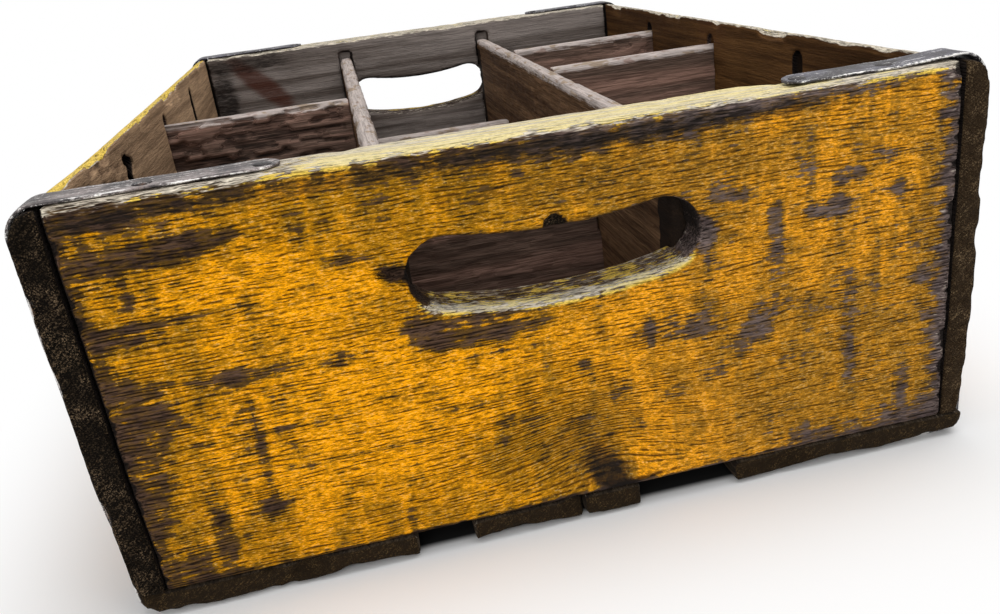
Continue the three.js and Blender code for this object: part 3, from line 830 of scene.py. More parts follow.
def end_panel(node, outward, boards, material, mesh_size, seed):
    """An end panel: painted outside, bare inside, with a worn rim and hand hole."""
    board, at = even_board(node, mesh_size)
    x, y, z = at.T
    shift = HOLE_SHIFT if outward < 0 else 0.0
    out = (y * outward - HALF_INSIDE) / (HALF_LENGTH - HALF_INSIDE)
    across = x - shift
    below = hole_height(across) - z
    in_hole = step_down(np.abs(across), HOLE_HALF_WIDTH - 6, HOLE_HALF_WIDTH + 2)
    lip = in_hole * spot(below, below * 0, (HOLE_HALF_HEIGHT, 0), (8, 1))
    top = near_rim(z, 9, 2)
    rub = 0.1 + 0.35 * top * (0.3 + 0.7 * out) + 0.75 * lip
    at, (nx, ny, nz), edge = weather(board, 0, rub, boards.rounding, boards, material, seed)
    x, y, z = at.T
    across = x - shift
    below = hole_height(across) - z
    face, inner = (step_up(ny * way, *FACING) for way in (outward, -outward))
    in_hole = step_down(np.abs(across), HOLE_HALF_WIDTH + 1, HOLE_HALF_WIDTH + 6)
    # Splinters at the ends of the hole, and a pit over it
    teeth = rough_noise(at, (12, 30, 1.6), seed + 31, 2)
    torn_left = spot(across, below, (-HOLE_HALF_WIDTH - 3, 1), (8, 3.6), 0.2)
    torn_right = 0.4 * spot(across, below, (HOLE_HALF_WIDTH + 1, 5), (5, 7))
    torn = np.maximum(torn_left, torn_right) * face
    y -= outward * torn * 3.0 * step_up(teeth, 0.35, 0.6)
    hole_ends = in_hole * step_up(np.abs(nx), 0.4, 0.8) * step_up(INNER_SIDE - 20 - np.abs(x), 0, 5)
    flute = rough_noise(at, (60, 60, 2.6), seed + 33)
    x += hole_ends * np.sign(across) * (flute - 0.4) * 2.2
    pit = spot(across, below, (0, -HOLE_HALF_HEIGHT - 1.6), (3.4, 2.8)) * step_up(ny * outward, -0.2, 0.4)
    y -= outward * pit * 3.0
    # Knocks along the rim, and frayed ends
    for corner, signs in CORNER_SIGNS.items():
        end = step_up(x * signs[0], INNER_SIDE - 50, INNER_SIDE)
        x += signs[0] * 0.6 * end * warp_of(corner, at, boards)
    z -= near_rim(z, 14, 0) * rough(at, (22, 12, 400), seed + 5, 3, 0.5, 0.85) * 1.3
    fray = step_up(np.abs(x), INNER_SIDE - 6, INNER_SIDE - 1) * (face + 0.5 * edge)
    fray *= rough(at, (30, 6, 2.4), seed + 8, 2, 0.5, 0.8)
    x -= np.sign(x) * fray * np.where(x > 0, 1.7, 1.0)
    move_points(board.data, at)
    # Where paint is left, and how bright. A few flecks of it stay in the bare patches
    right = x * -outward
    knot = spots(right, z, KNOT) * face
    top_face = step_up(nz, *UPWARD) * near_rim(z, 6, 2)
    lip = in_hole * step_up(below, HOLE_HALF_HEIGHT - 3, HOLE_HALF_HEIGHT) * step_up(nz, 0.05, 0.5)
    lip *= step_down(below, HOLE_HALF_HEIGHT + 0.5, HOLE_HALF_HEIGHT + 4) * (1 - hole_ends)
    lip_front = step_up(y * outward, HALF_LENGTH - 8, HALF_LENGTH - 2)
    lip_paint = 1 if outward < 0 else step_up(y * outward, HALF_INSIDE + 6, HALF_INSIDE + 12)
    bleached = step_up(right, -90, -55) * (1 if outward < 0 else 0.3)
    strap_end = step_up(right, 88, 114)
    fibres = step_up(right, INNER_SIDE - 13, INNER_SIDE - 4) * face
    fibres *= rough(at, (16, 9, 1.8), seed + 9, 2, 0.4, 0.66)
    cover = (0.84 - 0.4 * edge) * face - spots(right, z, FRONT_PATCHES)
    cover = np.maximum(cover, 0.17 * face) - 0.8 * torn - 0.22 * knot
    cover = most(
        cover, top_face * (0.1 + 0.62 * bleached * (1 - 0.8 * strap_end)) * (1 - 0.3 * edge),
        (0.3 + 0.16 * lip_front) * lip * lip_paint) - 0.6 * fibres
    tone = 0.45 + spots(right, z, FRONT_BRIGHT) - 0.9 * knot
    # Greyed edges and dry fibres
    fluting = rough(at, (60, 60, 1.3), seed + 35, 1, 0.5, 0.7) * step_down(-below, -4, 6)
    pale = most(
        (0.55 + 0.35 * bleached if outward < 0 else 0.85) * top_face,
        edge * near_rim(z, 6, 1) * (1 - inner), lip * (0.38 + 0.42 * lip_front),
        0.6 * edge * near_rim(z, 6, 0) * inner,
        0.55 * hole_ends * fluting * step_up(across, 0, 9), 0.3 * fibres)
    # Darkening and the stain inside. A band below the rim, the lower edge, the frayed ends, the inside, the
    # knot and the listed darker places are darker; the hole's underside, its end walls, the pit, the
    # splinters at the hole's ends and the panel's butted ends get painted shade
    # The hole's underside, which faces down, gets painted shade
    under = in_hole * step_up(-below, HOLE_HALF_HEIGHT - 3, HOLE_HALF_HEIGHT) * step_up(-nz, 0.2, 0.7)
    low_edge = edge * step_down(z, PANEL_BOTTOM + 1, PANEL_BOTTOM + 5)
    band = face * near_rim(z, 11, 6) * step_down(z, RIM - 4, RIM - 1.5) * (1 - 0.7 * strap_end)
    soot = 0.6 * band + 0.5 * low_edge + 0.5 * fray + 0.6 * under + 0.2 * inner + 0.7 * knot
    soot += face * spots(right, z, FRONT_DARKENED)
    fluted = step_up(np.abs(across), 0, 9) * step_up(below, 0, 8)
    # Painted shade: near black on the hole's end walls, in the pit and among the splinters at the hole's
    # ends; the pit also takes the near black end-grain colour
    soot = most(
        soot, (1.1 - 0.6 * fluted) * hole_ends, 1.5 * step_up(pit, 0.1, 0.5),
        0.7 * torn * step_up(teeth, 0.35, 0.65))
    if outward > 0:
        slant, run = (x + z - 12) / 1.41, (x - z + 232) / 1.41
        spill = 0.95 * spot(slant, run, (0, 0), (8, 30))
        soot += inner * (0.55 * spot(x, z, (-137, 114), (9, 20)) + 0.4 * spot(x, z, (-118, 139), (32, 7)))
    else:
        spill = 0.5 * spot(x, z, (60, 95), (40, 55))
    # Painted black shadow on the panel's ends, which butt into the side panels
    butted = step_up(np.abs(nx), 0.45, 0.8) * step_up(np.abs(x), INNER_SIDE - 4, INNER_SIDE - 1)
    write_traits(
        board.data, paint=cover, tone=tone, spill=spill, inside=inner, pale=pale * (1 - pit),
        raised=0.15 + spots(right, z, FRONT_RAISED), silver=step_up(right, -40, 60),
        soot=np.maximum(soot * (1 - 0.8 * np.minimum(pale, 1)), 1.5 * butted), cut=step_up(pit, 0.2, 0.5))
    keep(board, "painted_wood", node)


# The torn patch inside the left panel: middle along and up, half length and half height
SIDE_TEAR = (-140, 118, 45, 26)


def ends_of(along):
    """1 at the two ends of a board that runs from front to rear."""
    return near_end(along, 5, 2)


def under_strap(along):
    """1 where a side panel lies under a strap or beyond it."""
    return near_end(along, 24, 19)


def side_panel(node, outward, boards, material, mesh_size, seed):
    """A side panel: painted outside and on its rim, bare inside, with soaked end grain."""
    board, at = even_board(node, mesh_size)
    x, y, z = at.T
    ends = near_end(y, 8, 1)
    rub = (0.12 + 0.4 * near_rim(z, 7, 1) * (1 - ends)) * (1 - 0.8 * under_strap(y))
    at, (nx, ny, nz), edge = weather(board, 1, rub, boards.thin_rounding, boards, material, seed)
    x, y, z = at.T
    face, inner = (step_up(nx * way, *FACING) for way in (outward, -outward))
    # Torn inner edge of the rim, torn patch and broken groove inside the left panel
    tear = rough(at, (30, 18, 9), seed + 3, 2, 0.5, 0.8)
    tear *= near_rim(z, 10, 0) * step_up(OUTER_SIDE - 5 - x * outward, 0, 4) * (1 - ends_of(y))
    z -= tear * 2.6
    x += outward * tear * 1.2
    splinter = rough_noise(at, (6, 16, 3.0), seed + 6, 3)
    torn = inner * spot(y, z, SIDE_TEAR[:2], SIDE_TEAR[2:]) * (outward < 0)
    x += outward * torn * step_up(splinter, 0.35, 0.65) * 1.1
    from_groove = np.abs(y) - CROSS_DIVIDER_Y
    groove = step_down(np.abs(from_groove), 5, 9) * step_up(z, 80, 105) * (y < 0) * (outward < 0)
    jag = rough_noise(at, (8, 8, 3.6), seed + 7, 2) - 0.5
    y += groove * (jag * 15.0 - np.sign(from_groove) * 1.2)
    # Broken fibres and a ragged outline at the ends
    cut = step_up(np.abs(ny), *SAWN) * ends_of(y)
    y -= np.sign(y) * cut * rough(at, (2.6, 60, 2.6), seed + 9, 2, 0.45, 0.8) * 0.9
    ragged = near_end(y, 9, 2)
    ragged *= step_up(x * outward, OUTER_SIDE - 5, OUTER_SIDE)
    x -= outward * ragged * rough(at, (30, 30, 9), seed + 10, 3, 0.42, 0.8) * 1.1
    if outward > 0:
        x -= ragged * step_down(z, PANEL_BOTTOM, PANEL_BOTTOM + 22) * 2.0
    for corner, signs in CORNER_SIGNS.items():
        if signs[0] == outward:
            x += outward * warp_of(corner, at, boards)
    move_points(board.data, at)
    # Where paint is left, and how bright
    top_face = step_up(nz, *UPWARD) * near_rim(z, 7, 2)
    strapped = under_strap(y)
    patch = rough_noise(at, (60, 60, 22), seed + 4, 3)
    rim_paint = (1.15 if outward < 0 else 0.38) - 0.3 * step_up(patch, 0.4, 0.7)
    cover = np.maximum(
        face * (0.9 - 0.75 * step_up(patch, 0.5, 0.75) - 0.4 * edge),
        step_up(nz, 0.7, 0.95) * top_face * rim_paint)
    cover *= 1 - 0.9 * strapped * near_rim(z, 30, 10)
    tone = 0.35 + 0.1 * top_face + 0.3 * rough(at, (90, 90, 50), seed + 8, 2, 0.45, 0.7)
    dry_rim = (0.5 if outward < 0 else 0.8) * top_face
    pale = np.maximum(dry_rim, 0.3 * edge * near_rim(z, 6, 1)) * (1 - strapped)
    # Darkening and stains: darker inside, towards the bottom, on the lower and end edges, in the torn patch
    # and at the straps. The groove's hollow and the strip beside the end panel, which lies in a seam, get
    # painted black shade
    raw = torn * step_up(splinter, 0.4, 0.6)
    soot = 0.12 * inner + 0.5 * edge * step_down(z, PANEL_BOTTOM + 2, PANEL_BOTTOM + 8)
    soot += 0.25 * inner * step_down(z, 20, 90) + 0.2 * torn + 0.3 * raw
    soot += 0.9 * edge * ends_of(y) + strapped * (0.6 * face + 0.7 * top_face)
    # Painted black shade in the groove's hollow
    hollow = step_up(x * outward, INNER_SIDE + 0.5, INNER_SIDE + 1.3) * step_down(np.abs(from_groove), 7, 9)
    soot += 1.5 * hollow * (1 - face) * step_down(z, RIM - 7, RIM - 4)
    spill = 0.4 * inner * rough(at, (60, 60, 40), seed + 14, 2, 0.5, 0.75) + 0.8 * raw
    # Painted black shadow on the strip beside the end panel, in the seam
    seam = inner * step_up(np.abs(y), HALF_INSIDE - 1, HALF_INSIDE + 1)
    write_traits(
        board.data, paint=cover, tone=tone, spill=spill, inside=inner * (1 - seam), raised=0.35, silver=0.5,
        pale=pale * (1 - cut), soot=np.maximum(soot, 1.5 * seam),
        cut=np.maximum(cut, ends_of(y) * step_up(edge, 0.3, 0.8)))
    keep(board, "painted_wood", node)


def bottom_slat(node, boards, material, mesh_size, seed):
    """A bottom slat: bare, dark, with broken ends."""
    board, at = even_board(node, mesh_size)
    rub = 0.2 + 0.15 * ends_of(at[:, 1])
    at, normals, edge = weather(board, 1, rub, boards.thin_rounding, boards, material, seed)
    y, z = at.T[1:]
    cut = step_up(np.abs(normals[1]), *SAWN) * ends_of(y)
    y -= np.sign(y) * near_end(y, 8, 0) * rough(at, (14, 40, 6), seed + 3, 3, 0.45, 0.8) * 2.4
    lower = step_up(5 - z, 0, 4) * near_end(y, 14, 0)
    z += lower * rough(at, (24, 40, 60), seed + 6, 2, 0.5, 0.85) * 1.8
    move_points(board.data, at)
    write_traits(board.data, pale=0.3 * edge * (1 - cut), soot=0.25 + 0.3 * edge, cut=cut)
    keep(board, "bare_wood", node)


def divider(node, axis, boards, material, mesh_size, seed, torn):
    """A divider: bare sawn wood with a rubbed pale top edge and torn faces."""
    board, at = even_board(node, mesh_size)
    upper = step_up(at[:, 2], 55, 75)
    rub = 0.15 + 0.25 * upper
    at, normals, edge = weather(board, axis, rub, boards.thin_rounding, boards, material, seed)
    flank = normals[1 - axis]
    side = np.sign(flank) * step_up(np.abs(flank), 0.4, 0.8)
    # Torn faces have lost thin splinters
    size = [6.0, 6.0, 2.3]
    size[axis] = 9.0
    splinter = rough(at, size, seed + 2, 2, 0.42, 0.6)
    depth = torn(at) * rough(at, (55, 55, 60), seed + 12, 2, 0.3, 0.5)
    at[:, 1 - axis] -= side * depth * splinter
    at[:, 2] -= step_up(edge, 0.3, 0.9) * upper * rough(at, (20, 20, 200), seed + 7, 3, 0.5, 0.8) * 1.2
    move_points(board.data, at)
    # The local top of the board, which steps down between its bays
    along, y, z = at[:, axis], at[:, 1], at[:, 2]
    bins = ((along - along.min()) / 4).astype(int)
    tops = np.zeros(bins.max() + 1)
    np.maximum.at(tops, bins, z)
    band = step_down(tops[bins] - z, 1.5, 5.5)
    top = step_up(normals[2], 0.25, 0.75) * upper
    pale = most(top * 0.95, edge * 0.4 * upper, 0.8 * band * np.abs(side))
    # Darker towards the bottom, and in the torn faces' hollows, partly the torn wood's colour and partly
    # painted shade
    soot = 0.25 * step_down(z, 30, 110)
    soot += np.abs(side) * step_up(depth, 0.3, 1.5) * (0.2 + 0.45 * splinter)
    # Painted black shadow on the long dividers' faces next to the end panels
    if axis == 1:
        soot += 1.3 * step_up(np.abs(y), HALF_INSIDE - 8.5, HALF_INSIDE - 7.5) * (z < 126)
    write_traits(board.data, pale=pale, soot=soot * (1 - pale), cut=0.0)
    keep(board, "divider_wood", node)


class CRATE_OT_end_panels(bpy.types.Operator):
    """Make the two end panels with their hand holes"""

    bl_idname = "crate.end_panels"
    bl_label = "End panels"

    def execute(self, context):
        boards, finish = context.scene.crate_boards, context.scene.crate_finish
        paint = board_material("worn_paint_end", 0, finish, 1, "wood", "left", "inside", True)
        end_panel("end_panel_front", -1, boards, paint, boards.mesh_size, 11)
        end_panel("end_panel_rear", 1, boards, paint, boards.coarse_size, 12)
        return {"FINISHED"}


class CRATE_OT_side_panels(bpy.types.Operator):
    """Make the two side panels"""

    bl_idname = "crate.side_panels"
    bl_label = "Side panels"

    def execute(self, context):
        boards, finish = context.scene.crate_boards, context.scene.crate_finish
        for i, (place, outward) in enumerate((("left", -1), ("right", 1))):
            paint = board_material("worn_paint_" + place, 1, finish, 40 + 50 * i, "wood", place, place)
            side_panel("side_panel_" + place, outward, boards, paint, boards.side_size, 21 + i)
        return {"FINISHED"}


class CRATE_OT_bottom_slats(bpy.types.Operator):
    """Make the bottom slats"""

    bl_idname = "crate.bottom_slats"
    bl_label = "Bottom slats"

    def execute(self, context):
        boards, finish = context.scene.crate_boards, context.scene.crate_finish
        wood = board_material("slat_wood", 1, finish, 160, "slat", "slat")
        for i, place in enumerate(("left", "middle_left", "middle_right", "right")):
            bottom_slat("bottom_slat_" + place, boards, wood, boards.coarse_size, 31 + i)
        return {"FINISHED"}


TORN_DEPTH = 2.2


def torn_long(places):
    """How deep the faces of a long divider are torn."""
    return 0.5 * step_up(places[:, 2], 60, 110)


def torn_cross(places):
    """How deep the faces of a cross divider are torn: most in the outer bays, near the top."""
    left, right = (step_up(places[:, 0] * way, LONG_DIVIDER_X + 6, LONG_DIVIDER_X + 12) for way in (-1, 1))
    return TORN_DEPTH * (left + 0.3 * right) * step_up(places[:, 2], 40, 70) + 0.4


class CRATE_OT_long_dividers(bpy.types.Operator):
    """Make the two dividers that run from end to end"""

    bl_idname = "crate.long_dividers"
    bl_label = "Long dividers"

    def execute(self, context):
        boards, finish = context.scene.crate_boards, context.scene.crate_finish
        wood = board_material("long_divider_wood", 1, finish, 180, "long", "left", pale="divider_pale")
        for i, place in enumerate(("left", "right")):
            divider("long_divider_" + place, 1, boards, wood, boards.coarse_size, 41 + i, torn_long)
        return {"FINISHED"}


class CRATE_OT_cross_dividers(bpy.types.Operator):
    """Make the three dividers that run from side to side"""

    bl_idname = "crate.cross_dividers"
    bl_label = "Cross dividers"

    def execute(self, context):
        boards, finish = context.scene.crate_boards, context.scene.crate_finish
        wood = board_material("cross_divider_wood", 0, finish, 200, "cross", "left", pale="divider_pale")
        for i, place in enumerate(("front", "middle", "rear")):
            divider("cross_divider_" + place, 0, boards, wood, boards.mesh_size, 51 + i, torn_cross)
        return {"FINISHED"}


# Rows across the band, as shares of its half width, and how far its edges are eased, in thicknesses
BAND_SHARES = (-1.0, -0.985, -0.93, -0.8, -0.55, -0.28, 0.0, 0.28, 0.55, 0.8, 0.93, 0.985, 1.0)
BAND_DROPS = (0.5, 0.22, 0.05, 0.0)
BAND_STEP, BEND_STEPS = 1.1, 12
DIMPLE_SPREAD = 14


def strap_path(leg_end, outside, side, slack, lift, fittings):
    """Middle line of a strap from its upper tip to the end of its foot: places, outward normals, lengths."""
    thick = fittings.strap_thickness / MM
    top = box_of("corner_strap_front_left")[1][2]
    bends = fittings.strap_top_bend, fittings.strap_low_bend
    top_bend, low_bend = (bend / MM + thick / 2 for bend in bends)
    high, low = top - thick / 2, thick / 2
    wall = outside - thick / 2
    foot_end = outside - thick - fittings.strap_foot / MM
    points, normals = [], []

    def run(start, end, normal):
        count = max(2, int(math.dist(start, end) / BAND_STEP))
        for i in range(count):
            share = i / count
            points.append((start[0] + (end[0] - start[0]) * share, start[1] + (end[1] - start[1]) * share))
            normals.append(normal)

    def turn(up, bend, first):
        for i in range(BEND_STEPS):
            angle = first - math.pi / 2 * i / BEND_STEPS
            normals.append((math.cos(angle), math.sin(angle)))
            points.append((wall - bend + bend * math.cos(angle), up + bend * math.sin(angle)))

    run((leg_end, high), (wall - top_bend, high), (0, 1))
    turn(high - top_bend, top_bend, math.pi / 2)
    run((wall, high - top_bend), (wall, low + low_bend), (1, 0))
    turn(low + low_bend, low_bend, 0)
    run((wall - low_bend, low), (foot_end, low), (0, -1))
    points.append((foot_end, low))
    normals.append((0, -1))
    points, normals = np.array(points), np.array(normals)
    loose = step_up(points[:, 0], wall - 34, wall - 6)
    raised = step_up(points[:, 1], 100, high)
    points += np.stack([slack * loose * slack_at(points[:, 1]), lift * loose * raised], axis=1)
    far = np.concatenate([[0], np.cumsum(np.hypot(*np.diff(points, axis=0).T))])
    # Extra rows near the tips keep their round ends smooth
    tips = fittings.strap_width / 2 / MM * (1 - np.cos(np.linspace(0, math.pi / 2, BEND_STEPS)))
    between = far[(far > tips[-1]) & (far < far[-1] - tips[-1])]
    rows = np.unique(np.concatenate([tips, far[-1] - tips, between]))
    line, out = (
        np.stack([np.interp(rows, far, part) for part in each.T], axis=1) for each in (points, normals))
    out /= np.linalg.norm(out, axis=1)[:, None]
    return line * (side, 1), out * (side, 1), rows


def corner_strap(node, side, loose, fittings, material, seed):
    """A steel strap bent round a corner, with round ends, soft dents and rounded edges."""
    low, high = box_of(node)
    y_middle = (low[1] + high[1]) / 2
    leg_end, outside = sorted((abs(low[0]), abs(high[0])))
    slack, lift = fittings.strap_slack / MM * loose[0], fittings.strap_lift / MM * loose[1]
    line, out, rows = strap_path(leg_end, outside, side, slack, lift, fittings)
    half = fittings.strap_width / 2 / MM
    thick = fittings.strap_thickness / MM
    tip = np.minimum(np.minimum(rows, rows[-1] - rows), half)
    width = np.sqrt(np.maximum(half ** 2 - (half - tip) ** 2, 0.25))
    drops = np.array(BAND_DROPS + (0.0,) * (len(BAND_SHARES) - 2 * len(BAND_DROPS)) + BAND_DROPS[::-1])
    places = []
    for face in (1, -1):
        for share, drop in zip(BAND_SHARES[::face], drops):
            body = line + out * (face * thick * (0.5 - drop))
            places.append(np.stack([body[:, 0], y_middle + share * width, body[:, 1]], axis=1))
    grid = np.stack(places, axis=1)
    flat = grid.reshape(-1, 3)
    dent = rough_noise(flat, (17, 9, 17), seed, 2) - 0.5
    push = np.repeat(out, grid.shape[1], axis=0) * (dent * fittings.strap_dent / MM * 2)[:, None]
    flat = flat + np.stack([push[:, 0], np.zeros(len(push)), push[:, 1]], axis=1)
    for nail in NAILS:
        seat = sum(box_of(nail)) / 2
        inside = np.all(np.abs(seat - (low + high) / 2)[:2] < (high - low)[:2] / 2)
        if nail.startswith("strap_top") and inside:
            near = np.exp(-((flat - seat)[:, :2] ** 2).sum(axis=1) / DIMPLE_SPREAD)
            flat[:, 2] -= fittings.nail_dimple / MM * near * (flat[:, 2] > high[2] - 4)
    count, ring = grid.shape[:2]
    faces = [
        (i * ring + j, i * ring + (j + 1) % ring, (i + 1) * ring + (j + 1) % ring, (i + 1) * ring + j)
        for i in range(count - 1) for j in range(ring)]
    faces += [tuple(range(ring)), tuple(range((count - 1) * ring, count * ring))]
    mesh = bpy.data.meshes.new("worn_" + node)
    mesh.from_pydata((flat * MM).tolist(), [], faces)
    # The front straps' band edges are marked for a painted highlight, partly rubbed wear
    edges = step_up(np.abs(flat[:, 1] - y_middle), half - 1.4, half - 0.3)
    write_traits(mesh, rubbed=edges * (y_middle < 0), upright=np.repeat(np.abs(out[:, 0]), ring))
    shape = bmesh.new()
    shape.from_mesh(mesh)
    bmesh.ops.remove_doubles(shape, verts=shape.verts, dist=MERGE)
    bmesh.ops.recalc_face_normals(shape, faces=shape.faces)
    shape.to_mesh(mesh)
    shape.free()
    mesh.shade_smooth()
    mesh.materials.append(material)
    keep(link(mesh.name, mesh), "strap_steel", node)


class CRATE_OT_corner_straps(bpy.types.Operator):
    """Make the four steel corner straps"""

    bl_idname = "crate.corner_straps"
    bl_label = "Corner straps"

    def execute(self, context):
        fittings, finish = context.scene.crate_fittings, context.scene.crate_finish
        dull = steel_material("dull_strap_steel", finish, 0, finish.strap_blue)
        steels = {
            "front_left": steel_material("strap_steel", finish, 0, finish.strap),
            "front_right": steel_material("blued_strap_steel", finish, 0, finish.strap_blue)}
        for i, (corner, loose) in enumerate(STRAP_SLACK.items()):
            side, steel = CORNER_SIGNS[corner][0], steels.get(corner, dull)
            corner_strap("corner_strap_" + corner, side, loose, fittings, steel, 61 + i)
        return {"FINISHED"}


NAIL_POINT = 0.3 * MM


def nail_tree():
    """Sets a nail at each point: a crowned head on a tapering shank, a little out of true."""
    tree, wire, given = new_tree("driven_nails", [
        ("Head radius", "Float"), ("Crown", "Float"), ("Shank radius", "Float"), ("Shank length", "Float"),
        ("Tilt", "Float"), ("Seed", "Int"), ("Material", "Material")])
    points = wire.node("GeometryNodeMeshToPoints", {"Mesh": given["Geometry"]})
    ball = wire.node("GeometryNodeMeshUVSphere", {"Segments": 24, "Rings": 12, "Radius": 1.0})
    size = wire.node(
        "ShaderNodeCombineXYZ", {0: given["Head radius"], 1: given["Head radius"], 2: given["Crown"]})
    head = wire.node("GeometryNodeTransform", {"Geometry": ball, "Scale": size})
    rod = wire.node(
        "GeometryNodeMeshCone",
        {"Vertices": 12, "Radius Top": given["Shank radius"], "Radius Bottom": NAIL_POINT,
         "Depth": given["Shank length"]})
    below = wire.node("ShaderNodeCombineXYZ", {2: given["Shank length"] * -1.0})
    shank = wire.node("GeometryNodeTransform", {"Geometry": rod, "Translation": below})
    nail = wire.node("GeometryNodeJoinGeometry", {0: head})
    wire.tree.links.new(shank.socket, nail.socket.node.inputs[0])
    aim = wire.node("GeometryNodeInputNamedAttribute", {"Name": "aim"}, data_type="FLOAT_VECTOR")
    straight = wire.node("FunctionNodeAlignRotationToVector", {"Vector": aim}, axis="Z")
    most_lean = wire.node("ShaderNodeCombineXYZ", {0: given["Tilt"], 1: given["Tilt"], 2: math.pi})
    lean = wire.node(
        "FunctionNodeRandomValue", {0: wire.scaled(most_lean, -1.0), 1: most_lean, "Seed": given["Seed"]},
        data_type="FLOAT_VECTOR")
    lean = wire.node("FunctionNodeEulerToRotation", {0: lean})
    turned = wire.node("FunctionNodeRotateRotation", {0: straight, 1: lean}, rotation_space="LOCAL")
    shape = wire.node(
        "GeometryNodeInstanceOnPoints", {"Points": points, "Instance": nail, "Rotation": turned})
    shape = wire.node("GeometryNodeRealizeInstances", {0: shape})
    shape = wire.node("GeometryNodeSetShadeSmooth", {"Geometry": shape})
    end_tree(wire, shape, given["Material"])
    return tree


def drive_nails(name, nodes, radius, crown, fittings, material, seed):
    """Nails in the places of those packed ones, as one piece."""
    seats, aims, lengths = [], [], []
    for node in nodes:
        low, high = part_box(node)
        axis = max(range(3), key=lambda i: high[i] - low[i])
        outward = 1 if axis == 2 and "top" in node else -1
        if axis == 0:
            outward = 1 if high.x > -low.x else -1
        seat = (low + high) / 2
        sink = fittings.head_sink if node.startswith("strap") else 0.0
        seat[axis] = (high if outward > 0 else low)[axis] - outward * (crown + sink)
        if axis == 0 and node.startswith("strap_side"):
            corner = ("front" if seat.y < 0 else "rear") + ("_left" if outward < 0 else "_right")
            seat.x += outward * fittings.strap_slack * STRAP_SLACK[corner][0] * slack_at(seat.z / MM)
        seats.append(seat)
        aims.append([outward if i == axis else 0.0 for i in range(3)])
        lengths.append(high[axis] - low[axis] - 2 * crown)
    mesh = bpy.data.meshes.new(name)
    mesh.from_pydata([tuple(seat) for seat in seats], [], [])
    mesh.attributes.new("aim", "FLOAT_VECTOR", "POINT").data.foreach_set("vector", np.ravel(aims))
    tree = bpy.data.node_groups.get("driven_nails") or nail_tree()
    nails = apply_tree(link(name, mesh), tree, {
        "Head radius": radius, "Crown": crown, "Shank radius": fittings.shank_radius,
        "Shank length": min(lengths), "Tilt": fittings.nail_tilt, "Seed": seed, "Material": material})
    keep(nails, "nail_steel", *nodes)


class CRATE_OT_nails(bpy.types.Operator):
    """Drive the nails of the straps, the slats and the side edges"""

    bl_idname = "crate.nails"
    bl_label = "Nails"

    def execute(self, context):
        fittings, finish = context.scene.crate_fittings, context.scene.crate_finish
        steel = steel_material("nail_steel", finish, 0.4, finish.strap_dark)
        domed = [name for name in NAILS if name.startswith(("strap_top", "strap_side"))]
        flush = [name for name in NAILS if name not in domed]
        dome, flat = fittings.dome_radius, fittings.flush_radius
        drive_nails("strap_nails", domed, dome, fittings.dome_height, fittings, steel, fittings.nail_seed)
        drive_nails("slat_nails", flush, flat, fittings.flush_height, fittings, steel, fittings.nail_seed + 1)
        return {"FINISHED"}


def soft_lamp(name, place, target, size, watts):
    """A square soft lamp that points at a place."""
    lamp = bpy.data.lights.new(name, "AREA")
    lamp.shape, lamp.size, lamp.energy = "SQUARE", size, watts
    holder = link(name, lamp)
    holder.location = place
    holder.rotation_euler = (Vector(target) - Vector(place)).to_track_quat("-Z", "Y").to_euler()


def seen_directly(wire):
    """1 for rays from the camera, from mirrors and through glass, else 0."""
    camera, glossy, through = (
        wire.node("ShaderNodeLightPath", output=f"Is {kind} Ray")
        for kind in ("Camera", "Glossy", "Transmission"))
    return camera.maths("MAXIMUM", glossy).maths("MAXIMUM", through)


WHITE, LIGHT, PAINTED_SHADOW = ((grey, grey, grey, 1.0) for grey in (1.0, 0.92, 0.02))
NONE = (0.0, 0.0, 0.0)
# Half sizes of the crate's outline and of the painted black shadow on the floor beneath it, and how far each
# fades out
FOOTPRINT, SHADOW_REACH = (0.155, 0.211, 0.0), 0.1
PAINTED_SHADOW_HALF, PAINTED_SHADOW_FADE = (0.145, 0.203, 0.0), 0.004
# Place, target and width of the soft lamps
OVERHEAD_LAMP = (0.25, -0.15, 1.15), (0, 0, 0.08), 1.1
FRONT_LAMP = (-0.35, -1.15, 0.62), (0, -0.15, 0.07), 0.9
CLIP_START = 0.01


def beyond(wire, place, corner):
    """How far a place is outside a rectangle about the middle of the floor."""
    outside = wire.vector("SUBTRACT", wire.vector("ABSOLUTE", place), corner)
    return wire.vector("LENGTH", wire.vector("MAXIMUM", outside, NONE), output=1)


def floor_material():
    """A white floor with a painted black shadow beneath the crate, that keeps the rendered shadow near it and
    is plain white further off.
    """
    material, wire, place = new_material("white_floor")
    far = beyond(wire, place, FOOTPRINT).ramp(0.0, SHADOW_REACH)
    # Painted shadow: the floor's own colour is near black under the crate
    colour = beyond(wire, place, PAINTED_SHADOW_HALF).ramp(0.0, PAINTED_SHADOW_FADE).blend(PAINTED_SHADOW, LIGHT)
    matt = wire.node("ShaderNodeBsdfDiffuse", {"Color": colour})
    plain = wire.node("ShaderNodeEmission", {"Color": WHITE, "Strength": 1.0})
    both = wire.node("ShaderNodeMixShader", {0: far * seen_directly(wire), 1: matt, 2: plain})
    wire.node("ShaderNodeOutputMaterial", {"Surface": both})
    return material


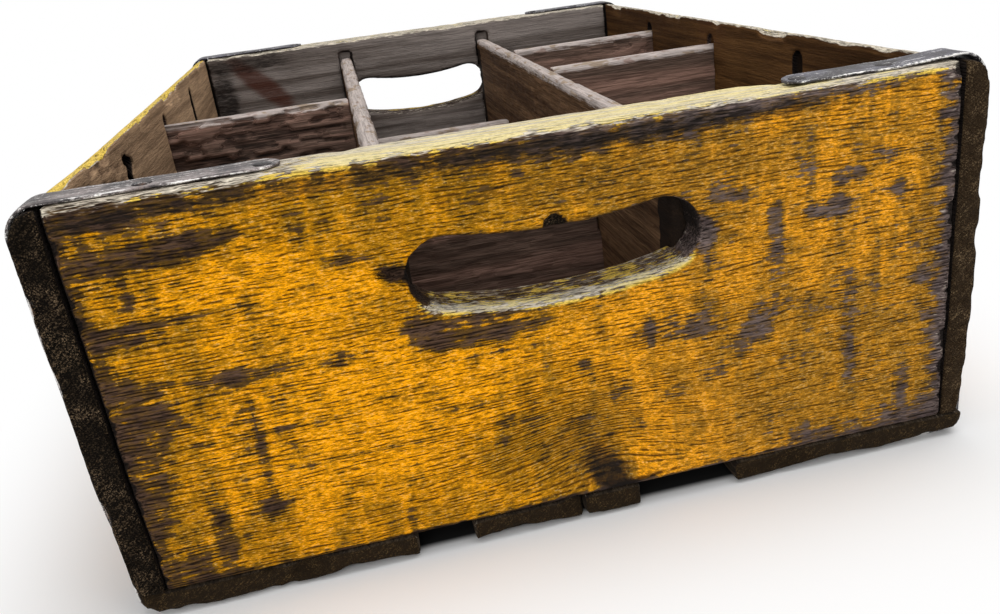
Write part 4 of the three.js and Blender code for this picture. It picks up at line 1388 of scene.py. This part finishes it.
class CRATE_OT_stage(bpy.types.Operator):
    """Set the floor, the lamps and the camera"""

    bl_idname = "crate.stage"
    bl_label = "Stage"

    def execute(self, context):
        stage = context.scene.crate_stage
        half = stage.floor_size
        mesh = bpy.data.meshes.new("floor")
        corners = [(-half, -half, 0), (half, -half, 0), (half, half, 0), (-half, half, 0)]
        mesh.from_pydata(corners, [], [(0, 1, 2, 3)])
        mesh.materials.append(floor_material())
        link("floor", mesh)
        world = context.scene.world or bpy.data.worlds.new("room")
        context.scene.world = world
        world.use_nodes = True
        world.node_tree.nodes.clear()
        wire = Wire(world.node_tree)
        even, plain = (
            wire.node("ShaderNodeBackground", {"Color": WHITE, "Strength": strength})
            for strength in (stage.room_light, 1.0))
        both = wire.node("ShaderNodeMixShader", {0: seen_directly(wire), 1: even, 2: plain})
        wire.node("ShaderNodeOutputWorld", {"Surface": both})
        soft_lamp("overhead_lamp", *OVERHEAD_LAMP, stage.overhead_watts)
        soft_lamp("front_lamp", *FRONT_LAMP, stage.front_watts)
        turn, dip, roll = stage.camera_turn, stage.camera_dip, stage.camera_roll
        forward = Vector((math.sin(turn) * math.cos(dip), math.cos(turn) * math.cos(dip), -math.sin(dip)))
        level = Vector((math.cos(turn), -math.sin(turn), 0))
        upright = level.cross(forward)
        right = level * math.cos(roll) - upright * math.sin(roll)
        up = right.cross(forward)
        camera = bpy.data.cameras.new("view")
        camera.lens = stage.lens
        camera.shift_x, camera.shift_y = stage.camera_shift
        camera.clip_start = CLIP_START
        holder = link("view", camera)
        turned = Matrix((right, up, -forward)).transposed()
        holder.matrix_world = Matrix.Translation(stage.camera_place) @ turned.to_4x4()
        context.scene.camera = holder
        context.scene.view_settings.view_transform = "Standard"
        return {"FINISHED"}


STEPS = (
    "end_panels", "side_panels", "bottom_slats", "long_dividers", "cross_dividers", "corner_straps", "nails",
    "stage")


class CRATE_PT_sidebar(bpy.types.Panel):
    """The crate's steps and values"""

    bl_idname = "CRATE_PT_sidebar"
    bl_label = "Crate"
    bl_space_type = "VIEW_3D"
    bl_region_type = "UI"
    bl_category = "Crate"

    def draw(self, context):
        for step in STEPS:
            self.layout.operator("crate." + step)
        for name in GROUPS:
            group = getattr(context.scene, name)
            box = self.layout.box()
            for key in group.bl_rna.properties.keys():
                if key not in ("rna_type", "name"):
                    box.prop(group, key)


GROUPS = {
    "crate_boards": CrateBoards, "crate_finish": CrateFinish, "crate_fittings": CrateFittings,
    "crate_stage": CrateStage}
CLASSES = (
    *GROUPS.values(), CRATE_OT_end_panels, CRATE_OT_side_panels, CRATE_OT_bottom_slats,
    CRATE_OT_long_dividers, CRATE_OT_cross_dividers, CRATE_OT_corner_straps, CRATE_OT_nails,
    CRATE_OT_stage, CRATE_PT_sidebar)


def register():
    for kind in CLASSES:
        bpy.utils.register_class(kind)
    for name, kind in GROUPS.items():
        setattr(bpy.types.Scene, name, bpy.props.PointerProperty(type=kind))


def unregister():
    for name in GROUPS:
        delattr(bpy.types.Scene, name)
    for kind in reversed(CLASSES):
        bpy.utils.unregister_class(kind)


def main():
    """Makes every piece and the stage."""
    register()
    for step in STEPS:
        if getattr(bpy.ops.crate, step)() != {"FINISHED"}:
            raise RuntimeError(step + " did not finish")


if __name__ == "__main__":
    main()
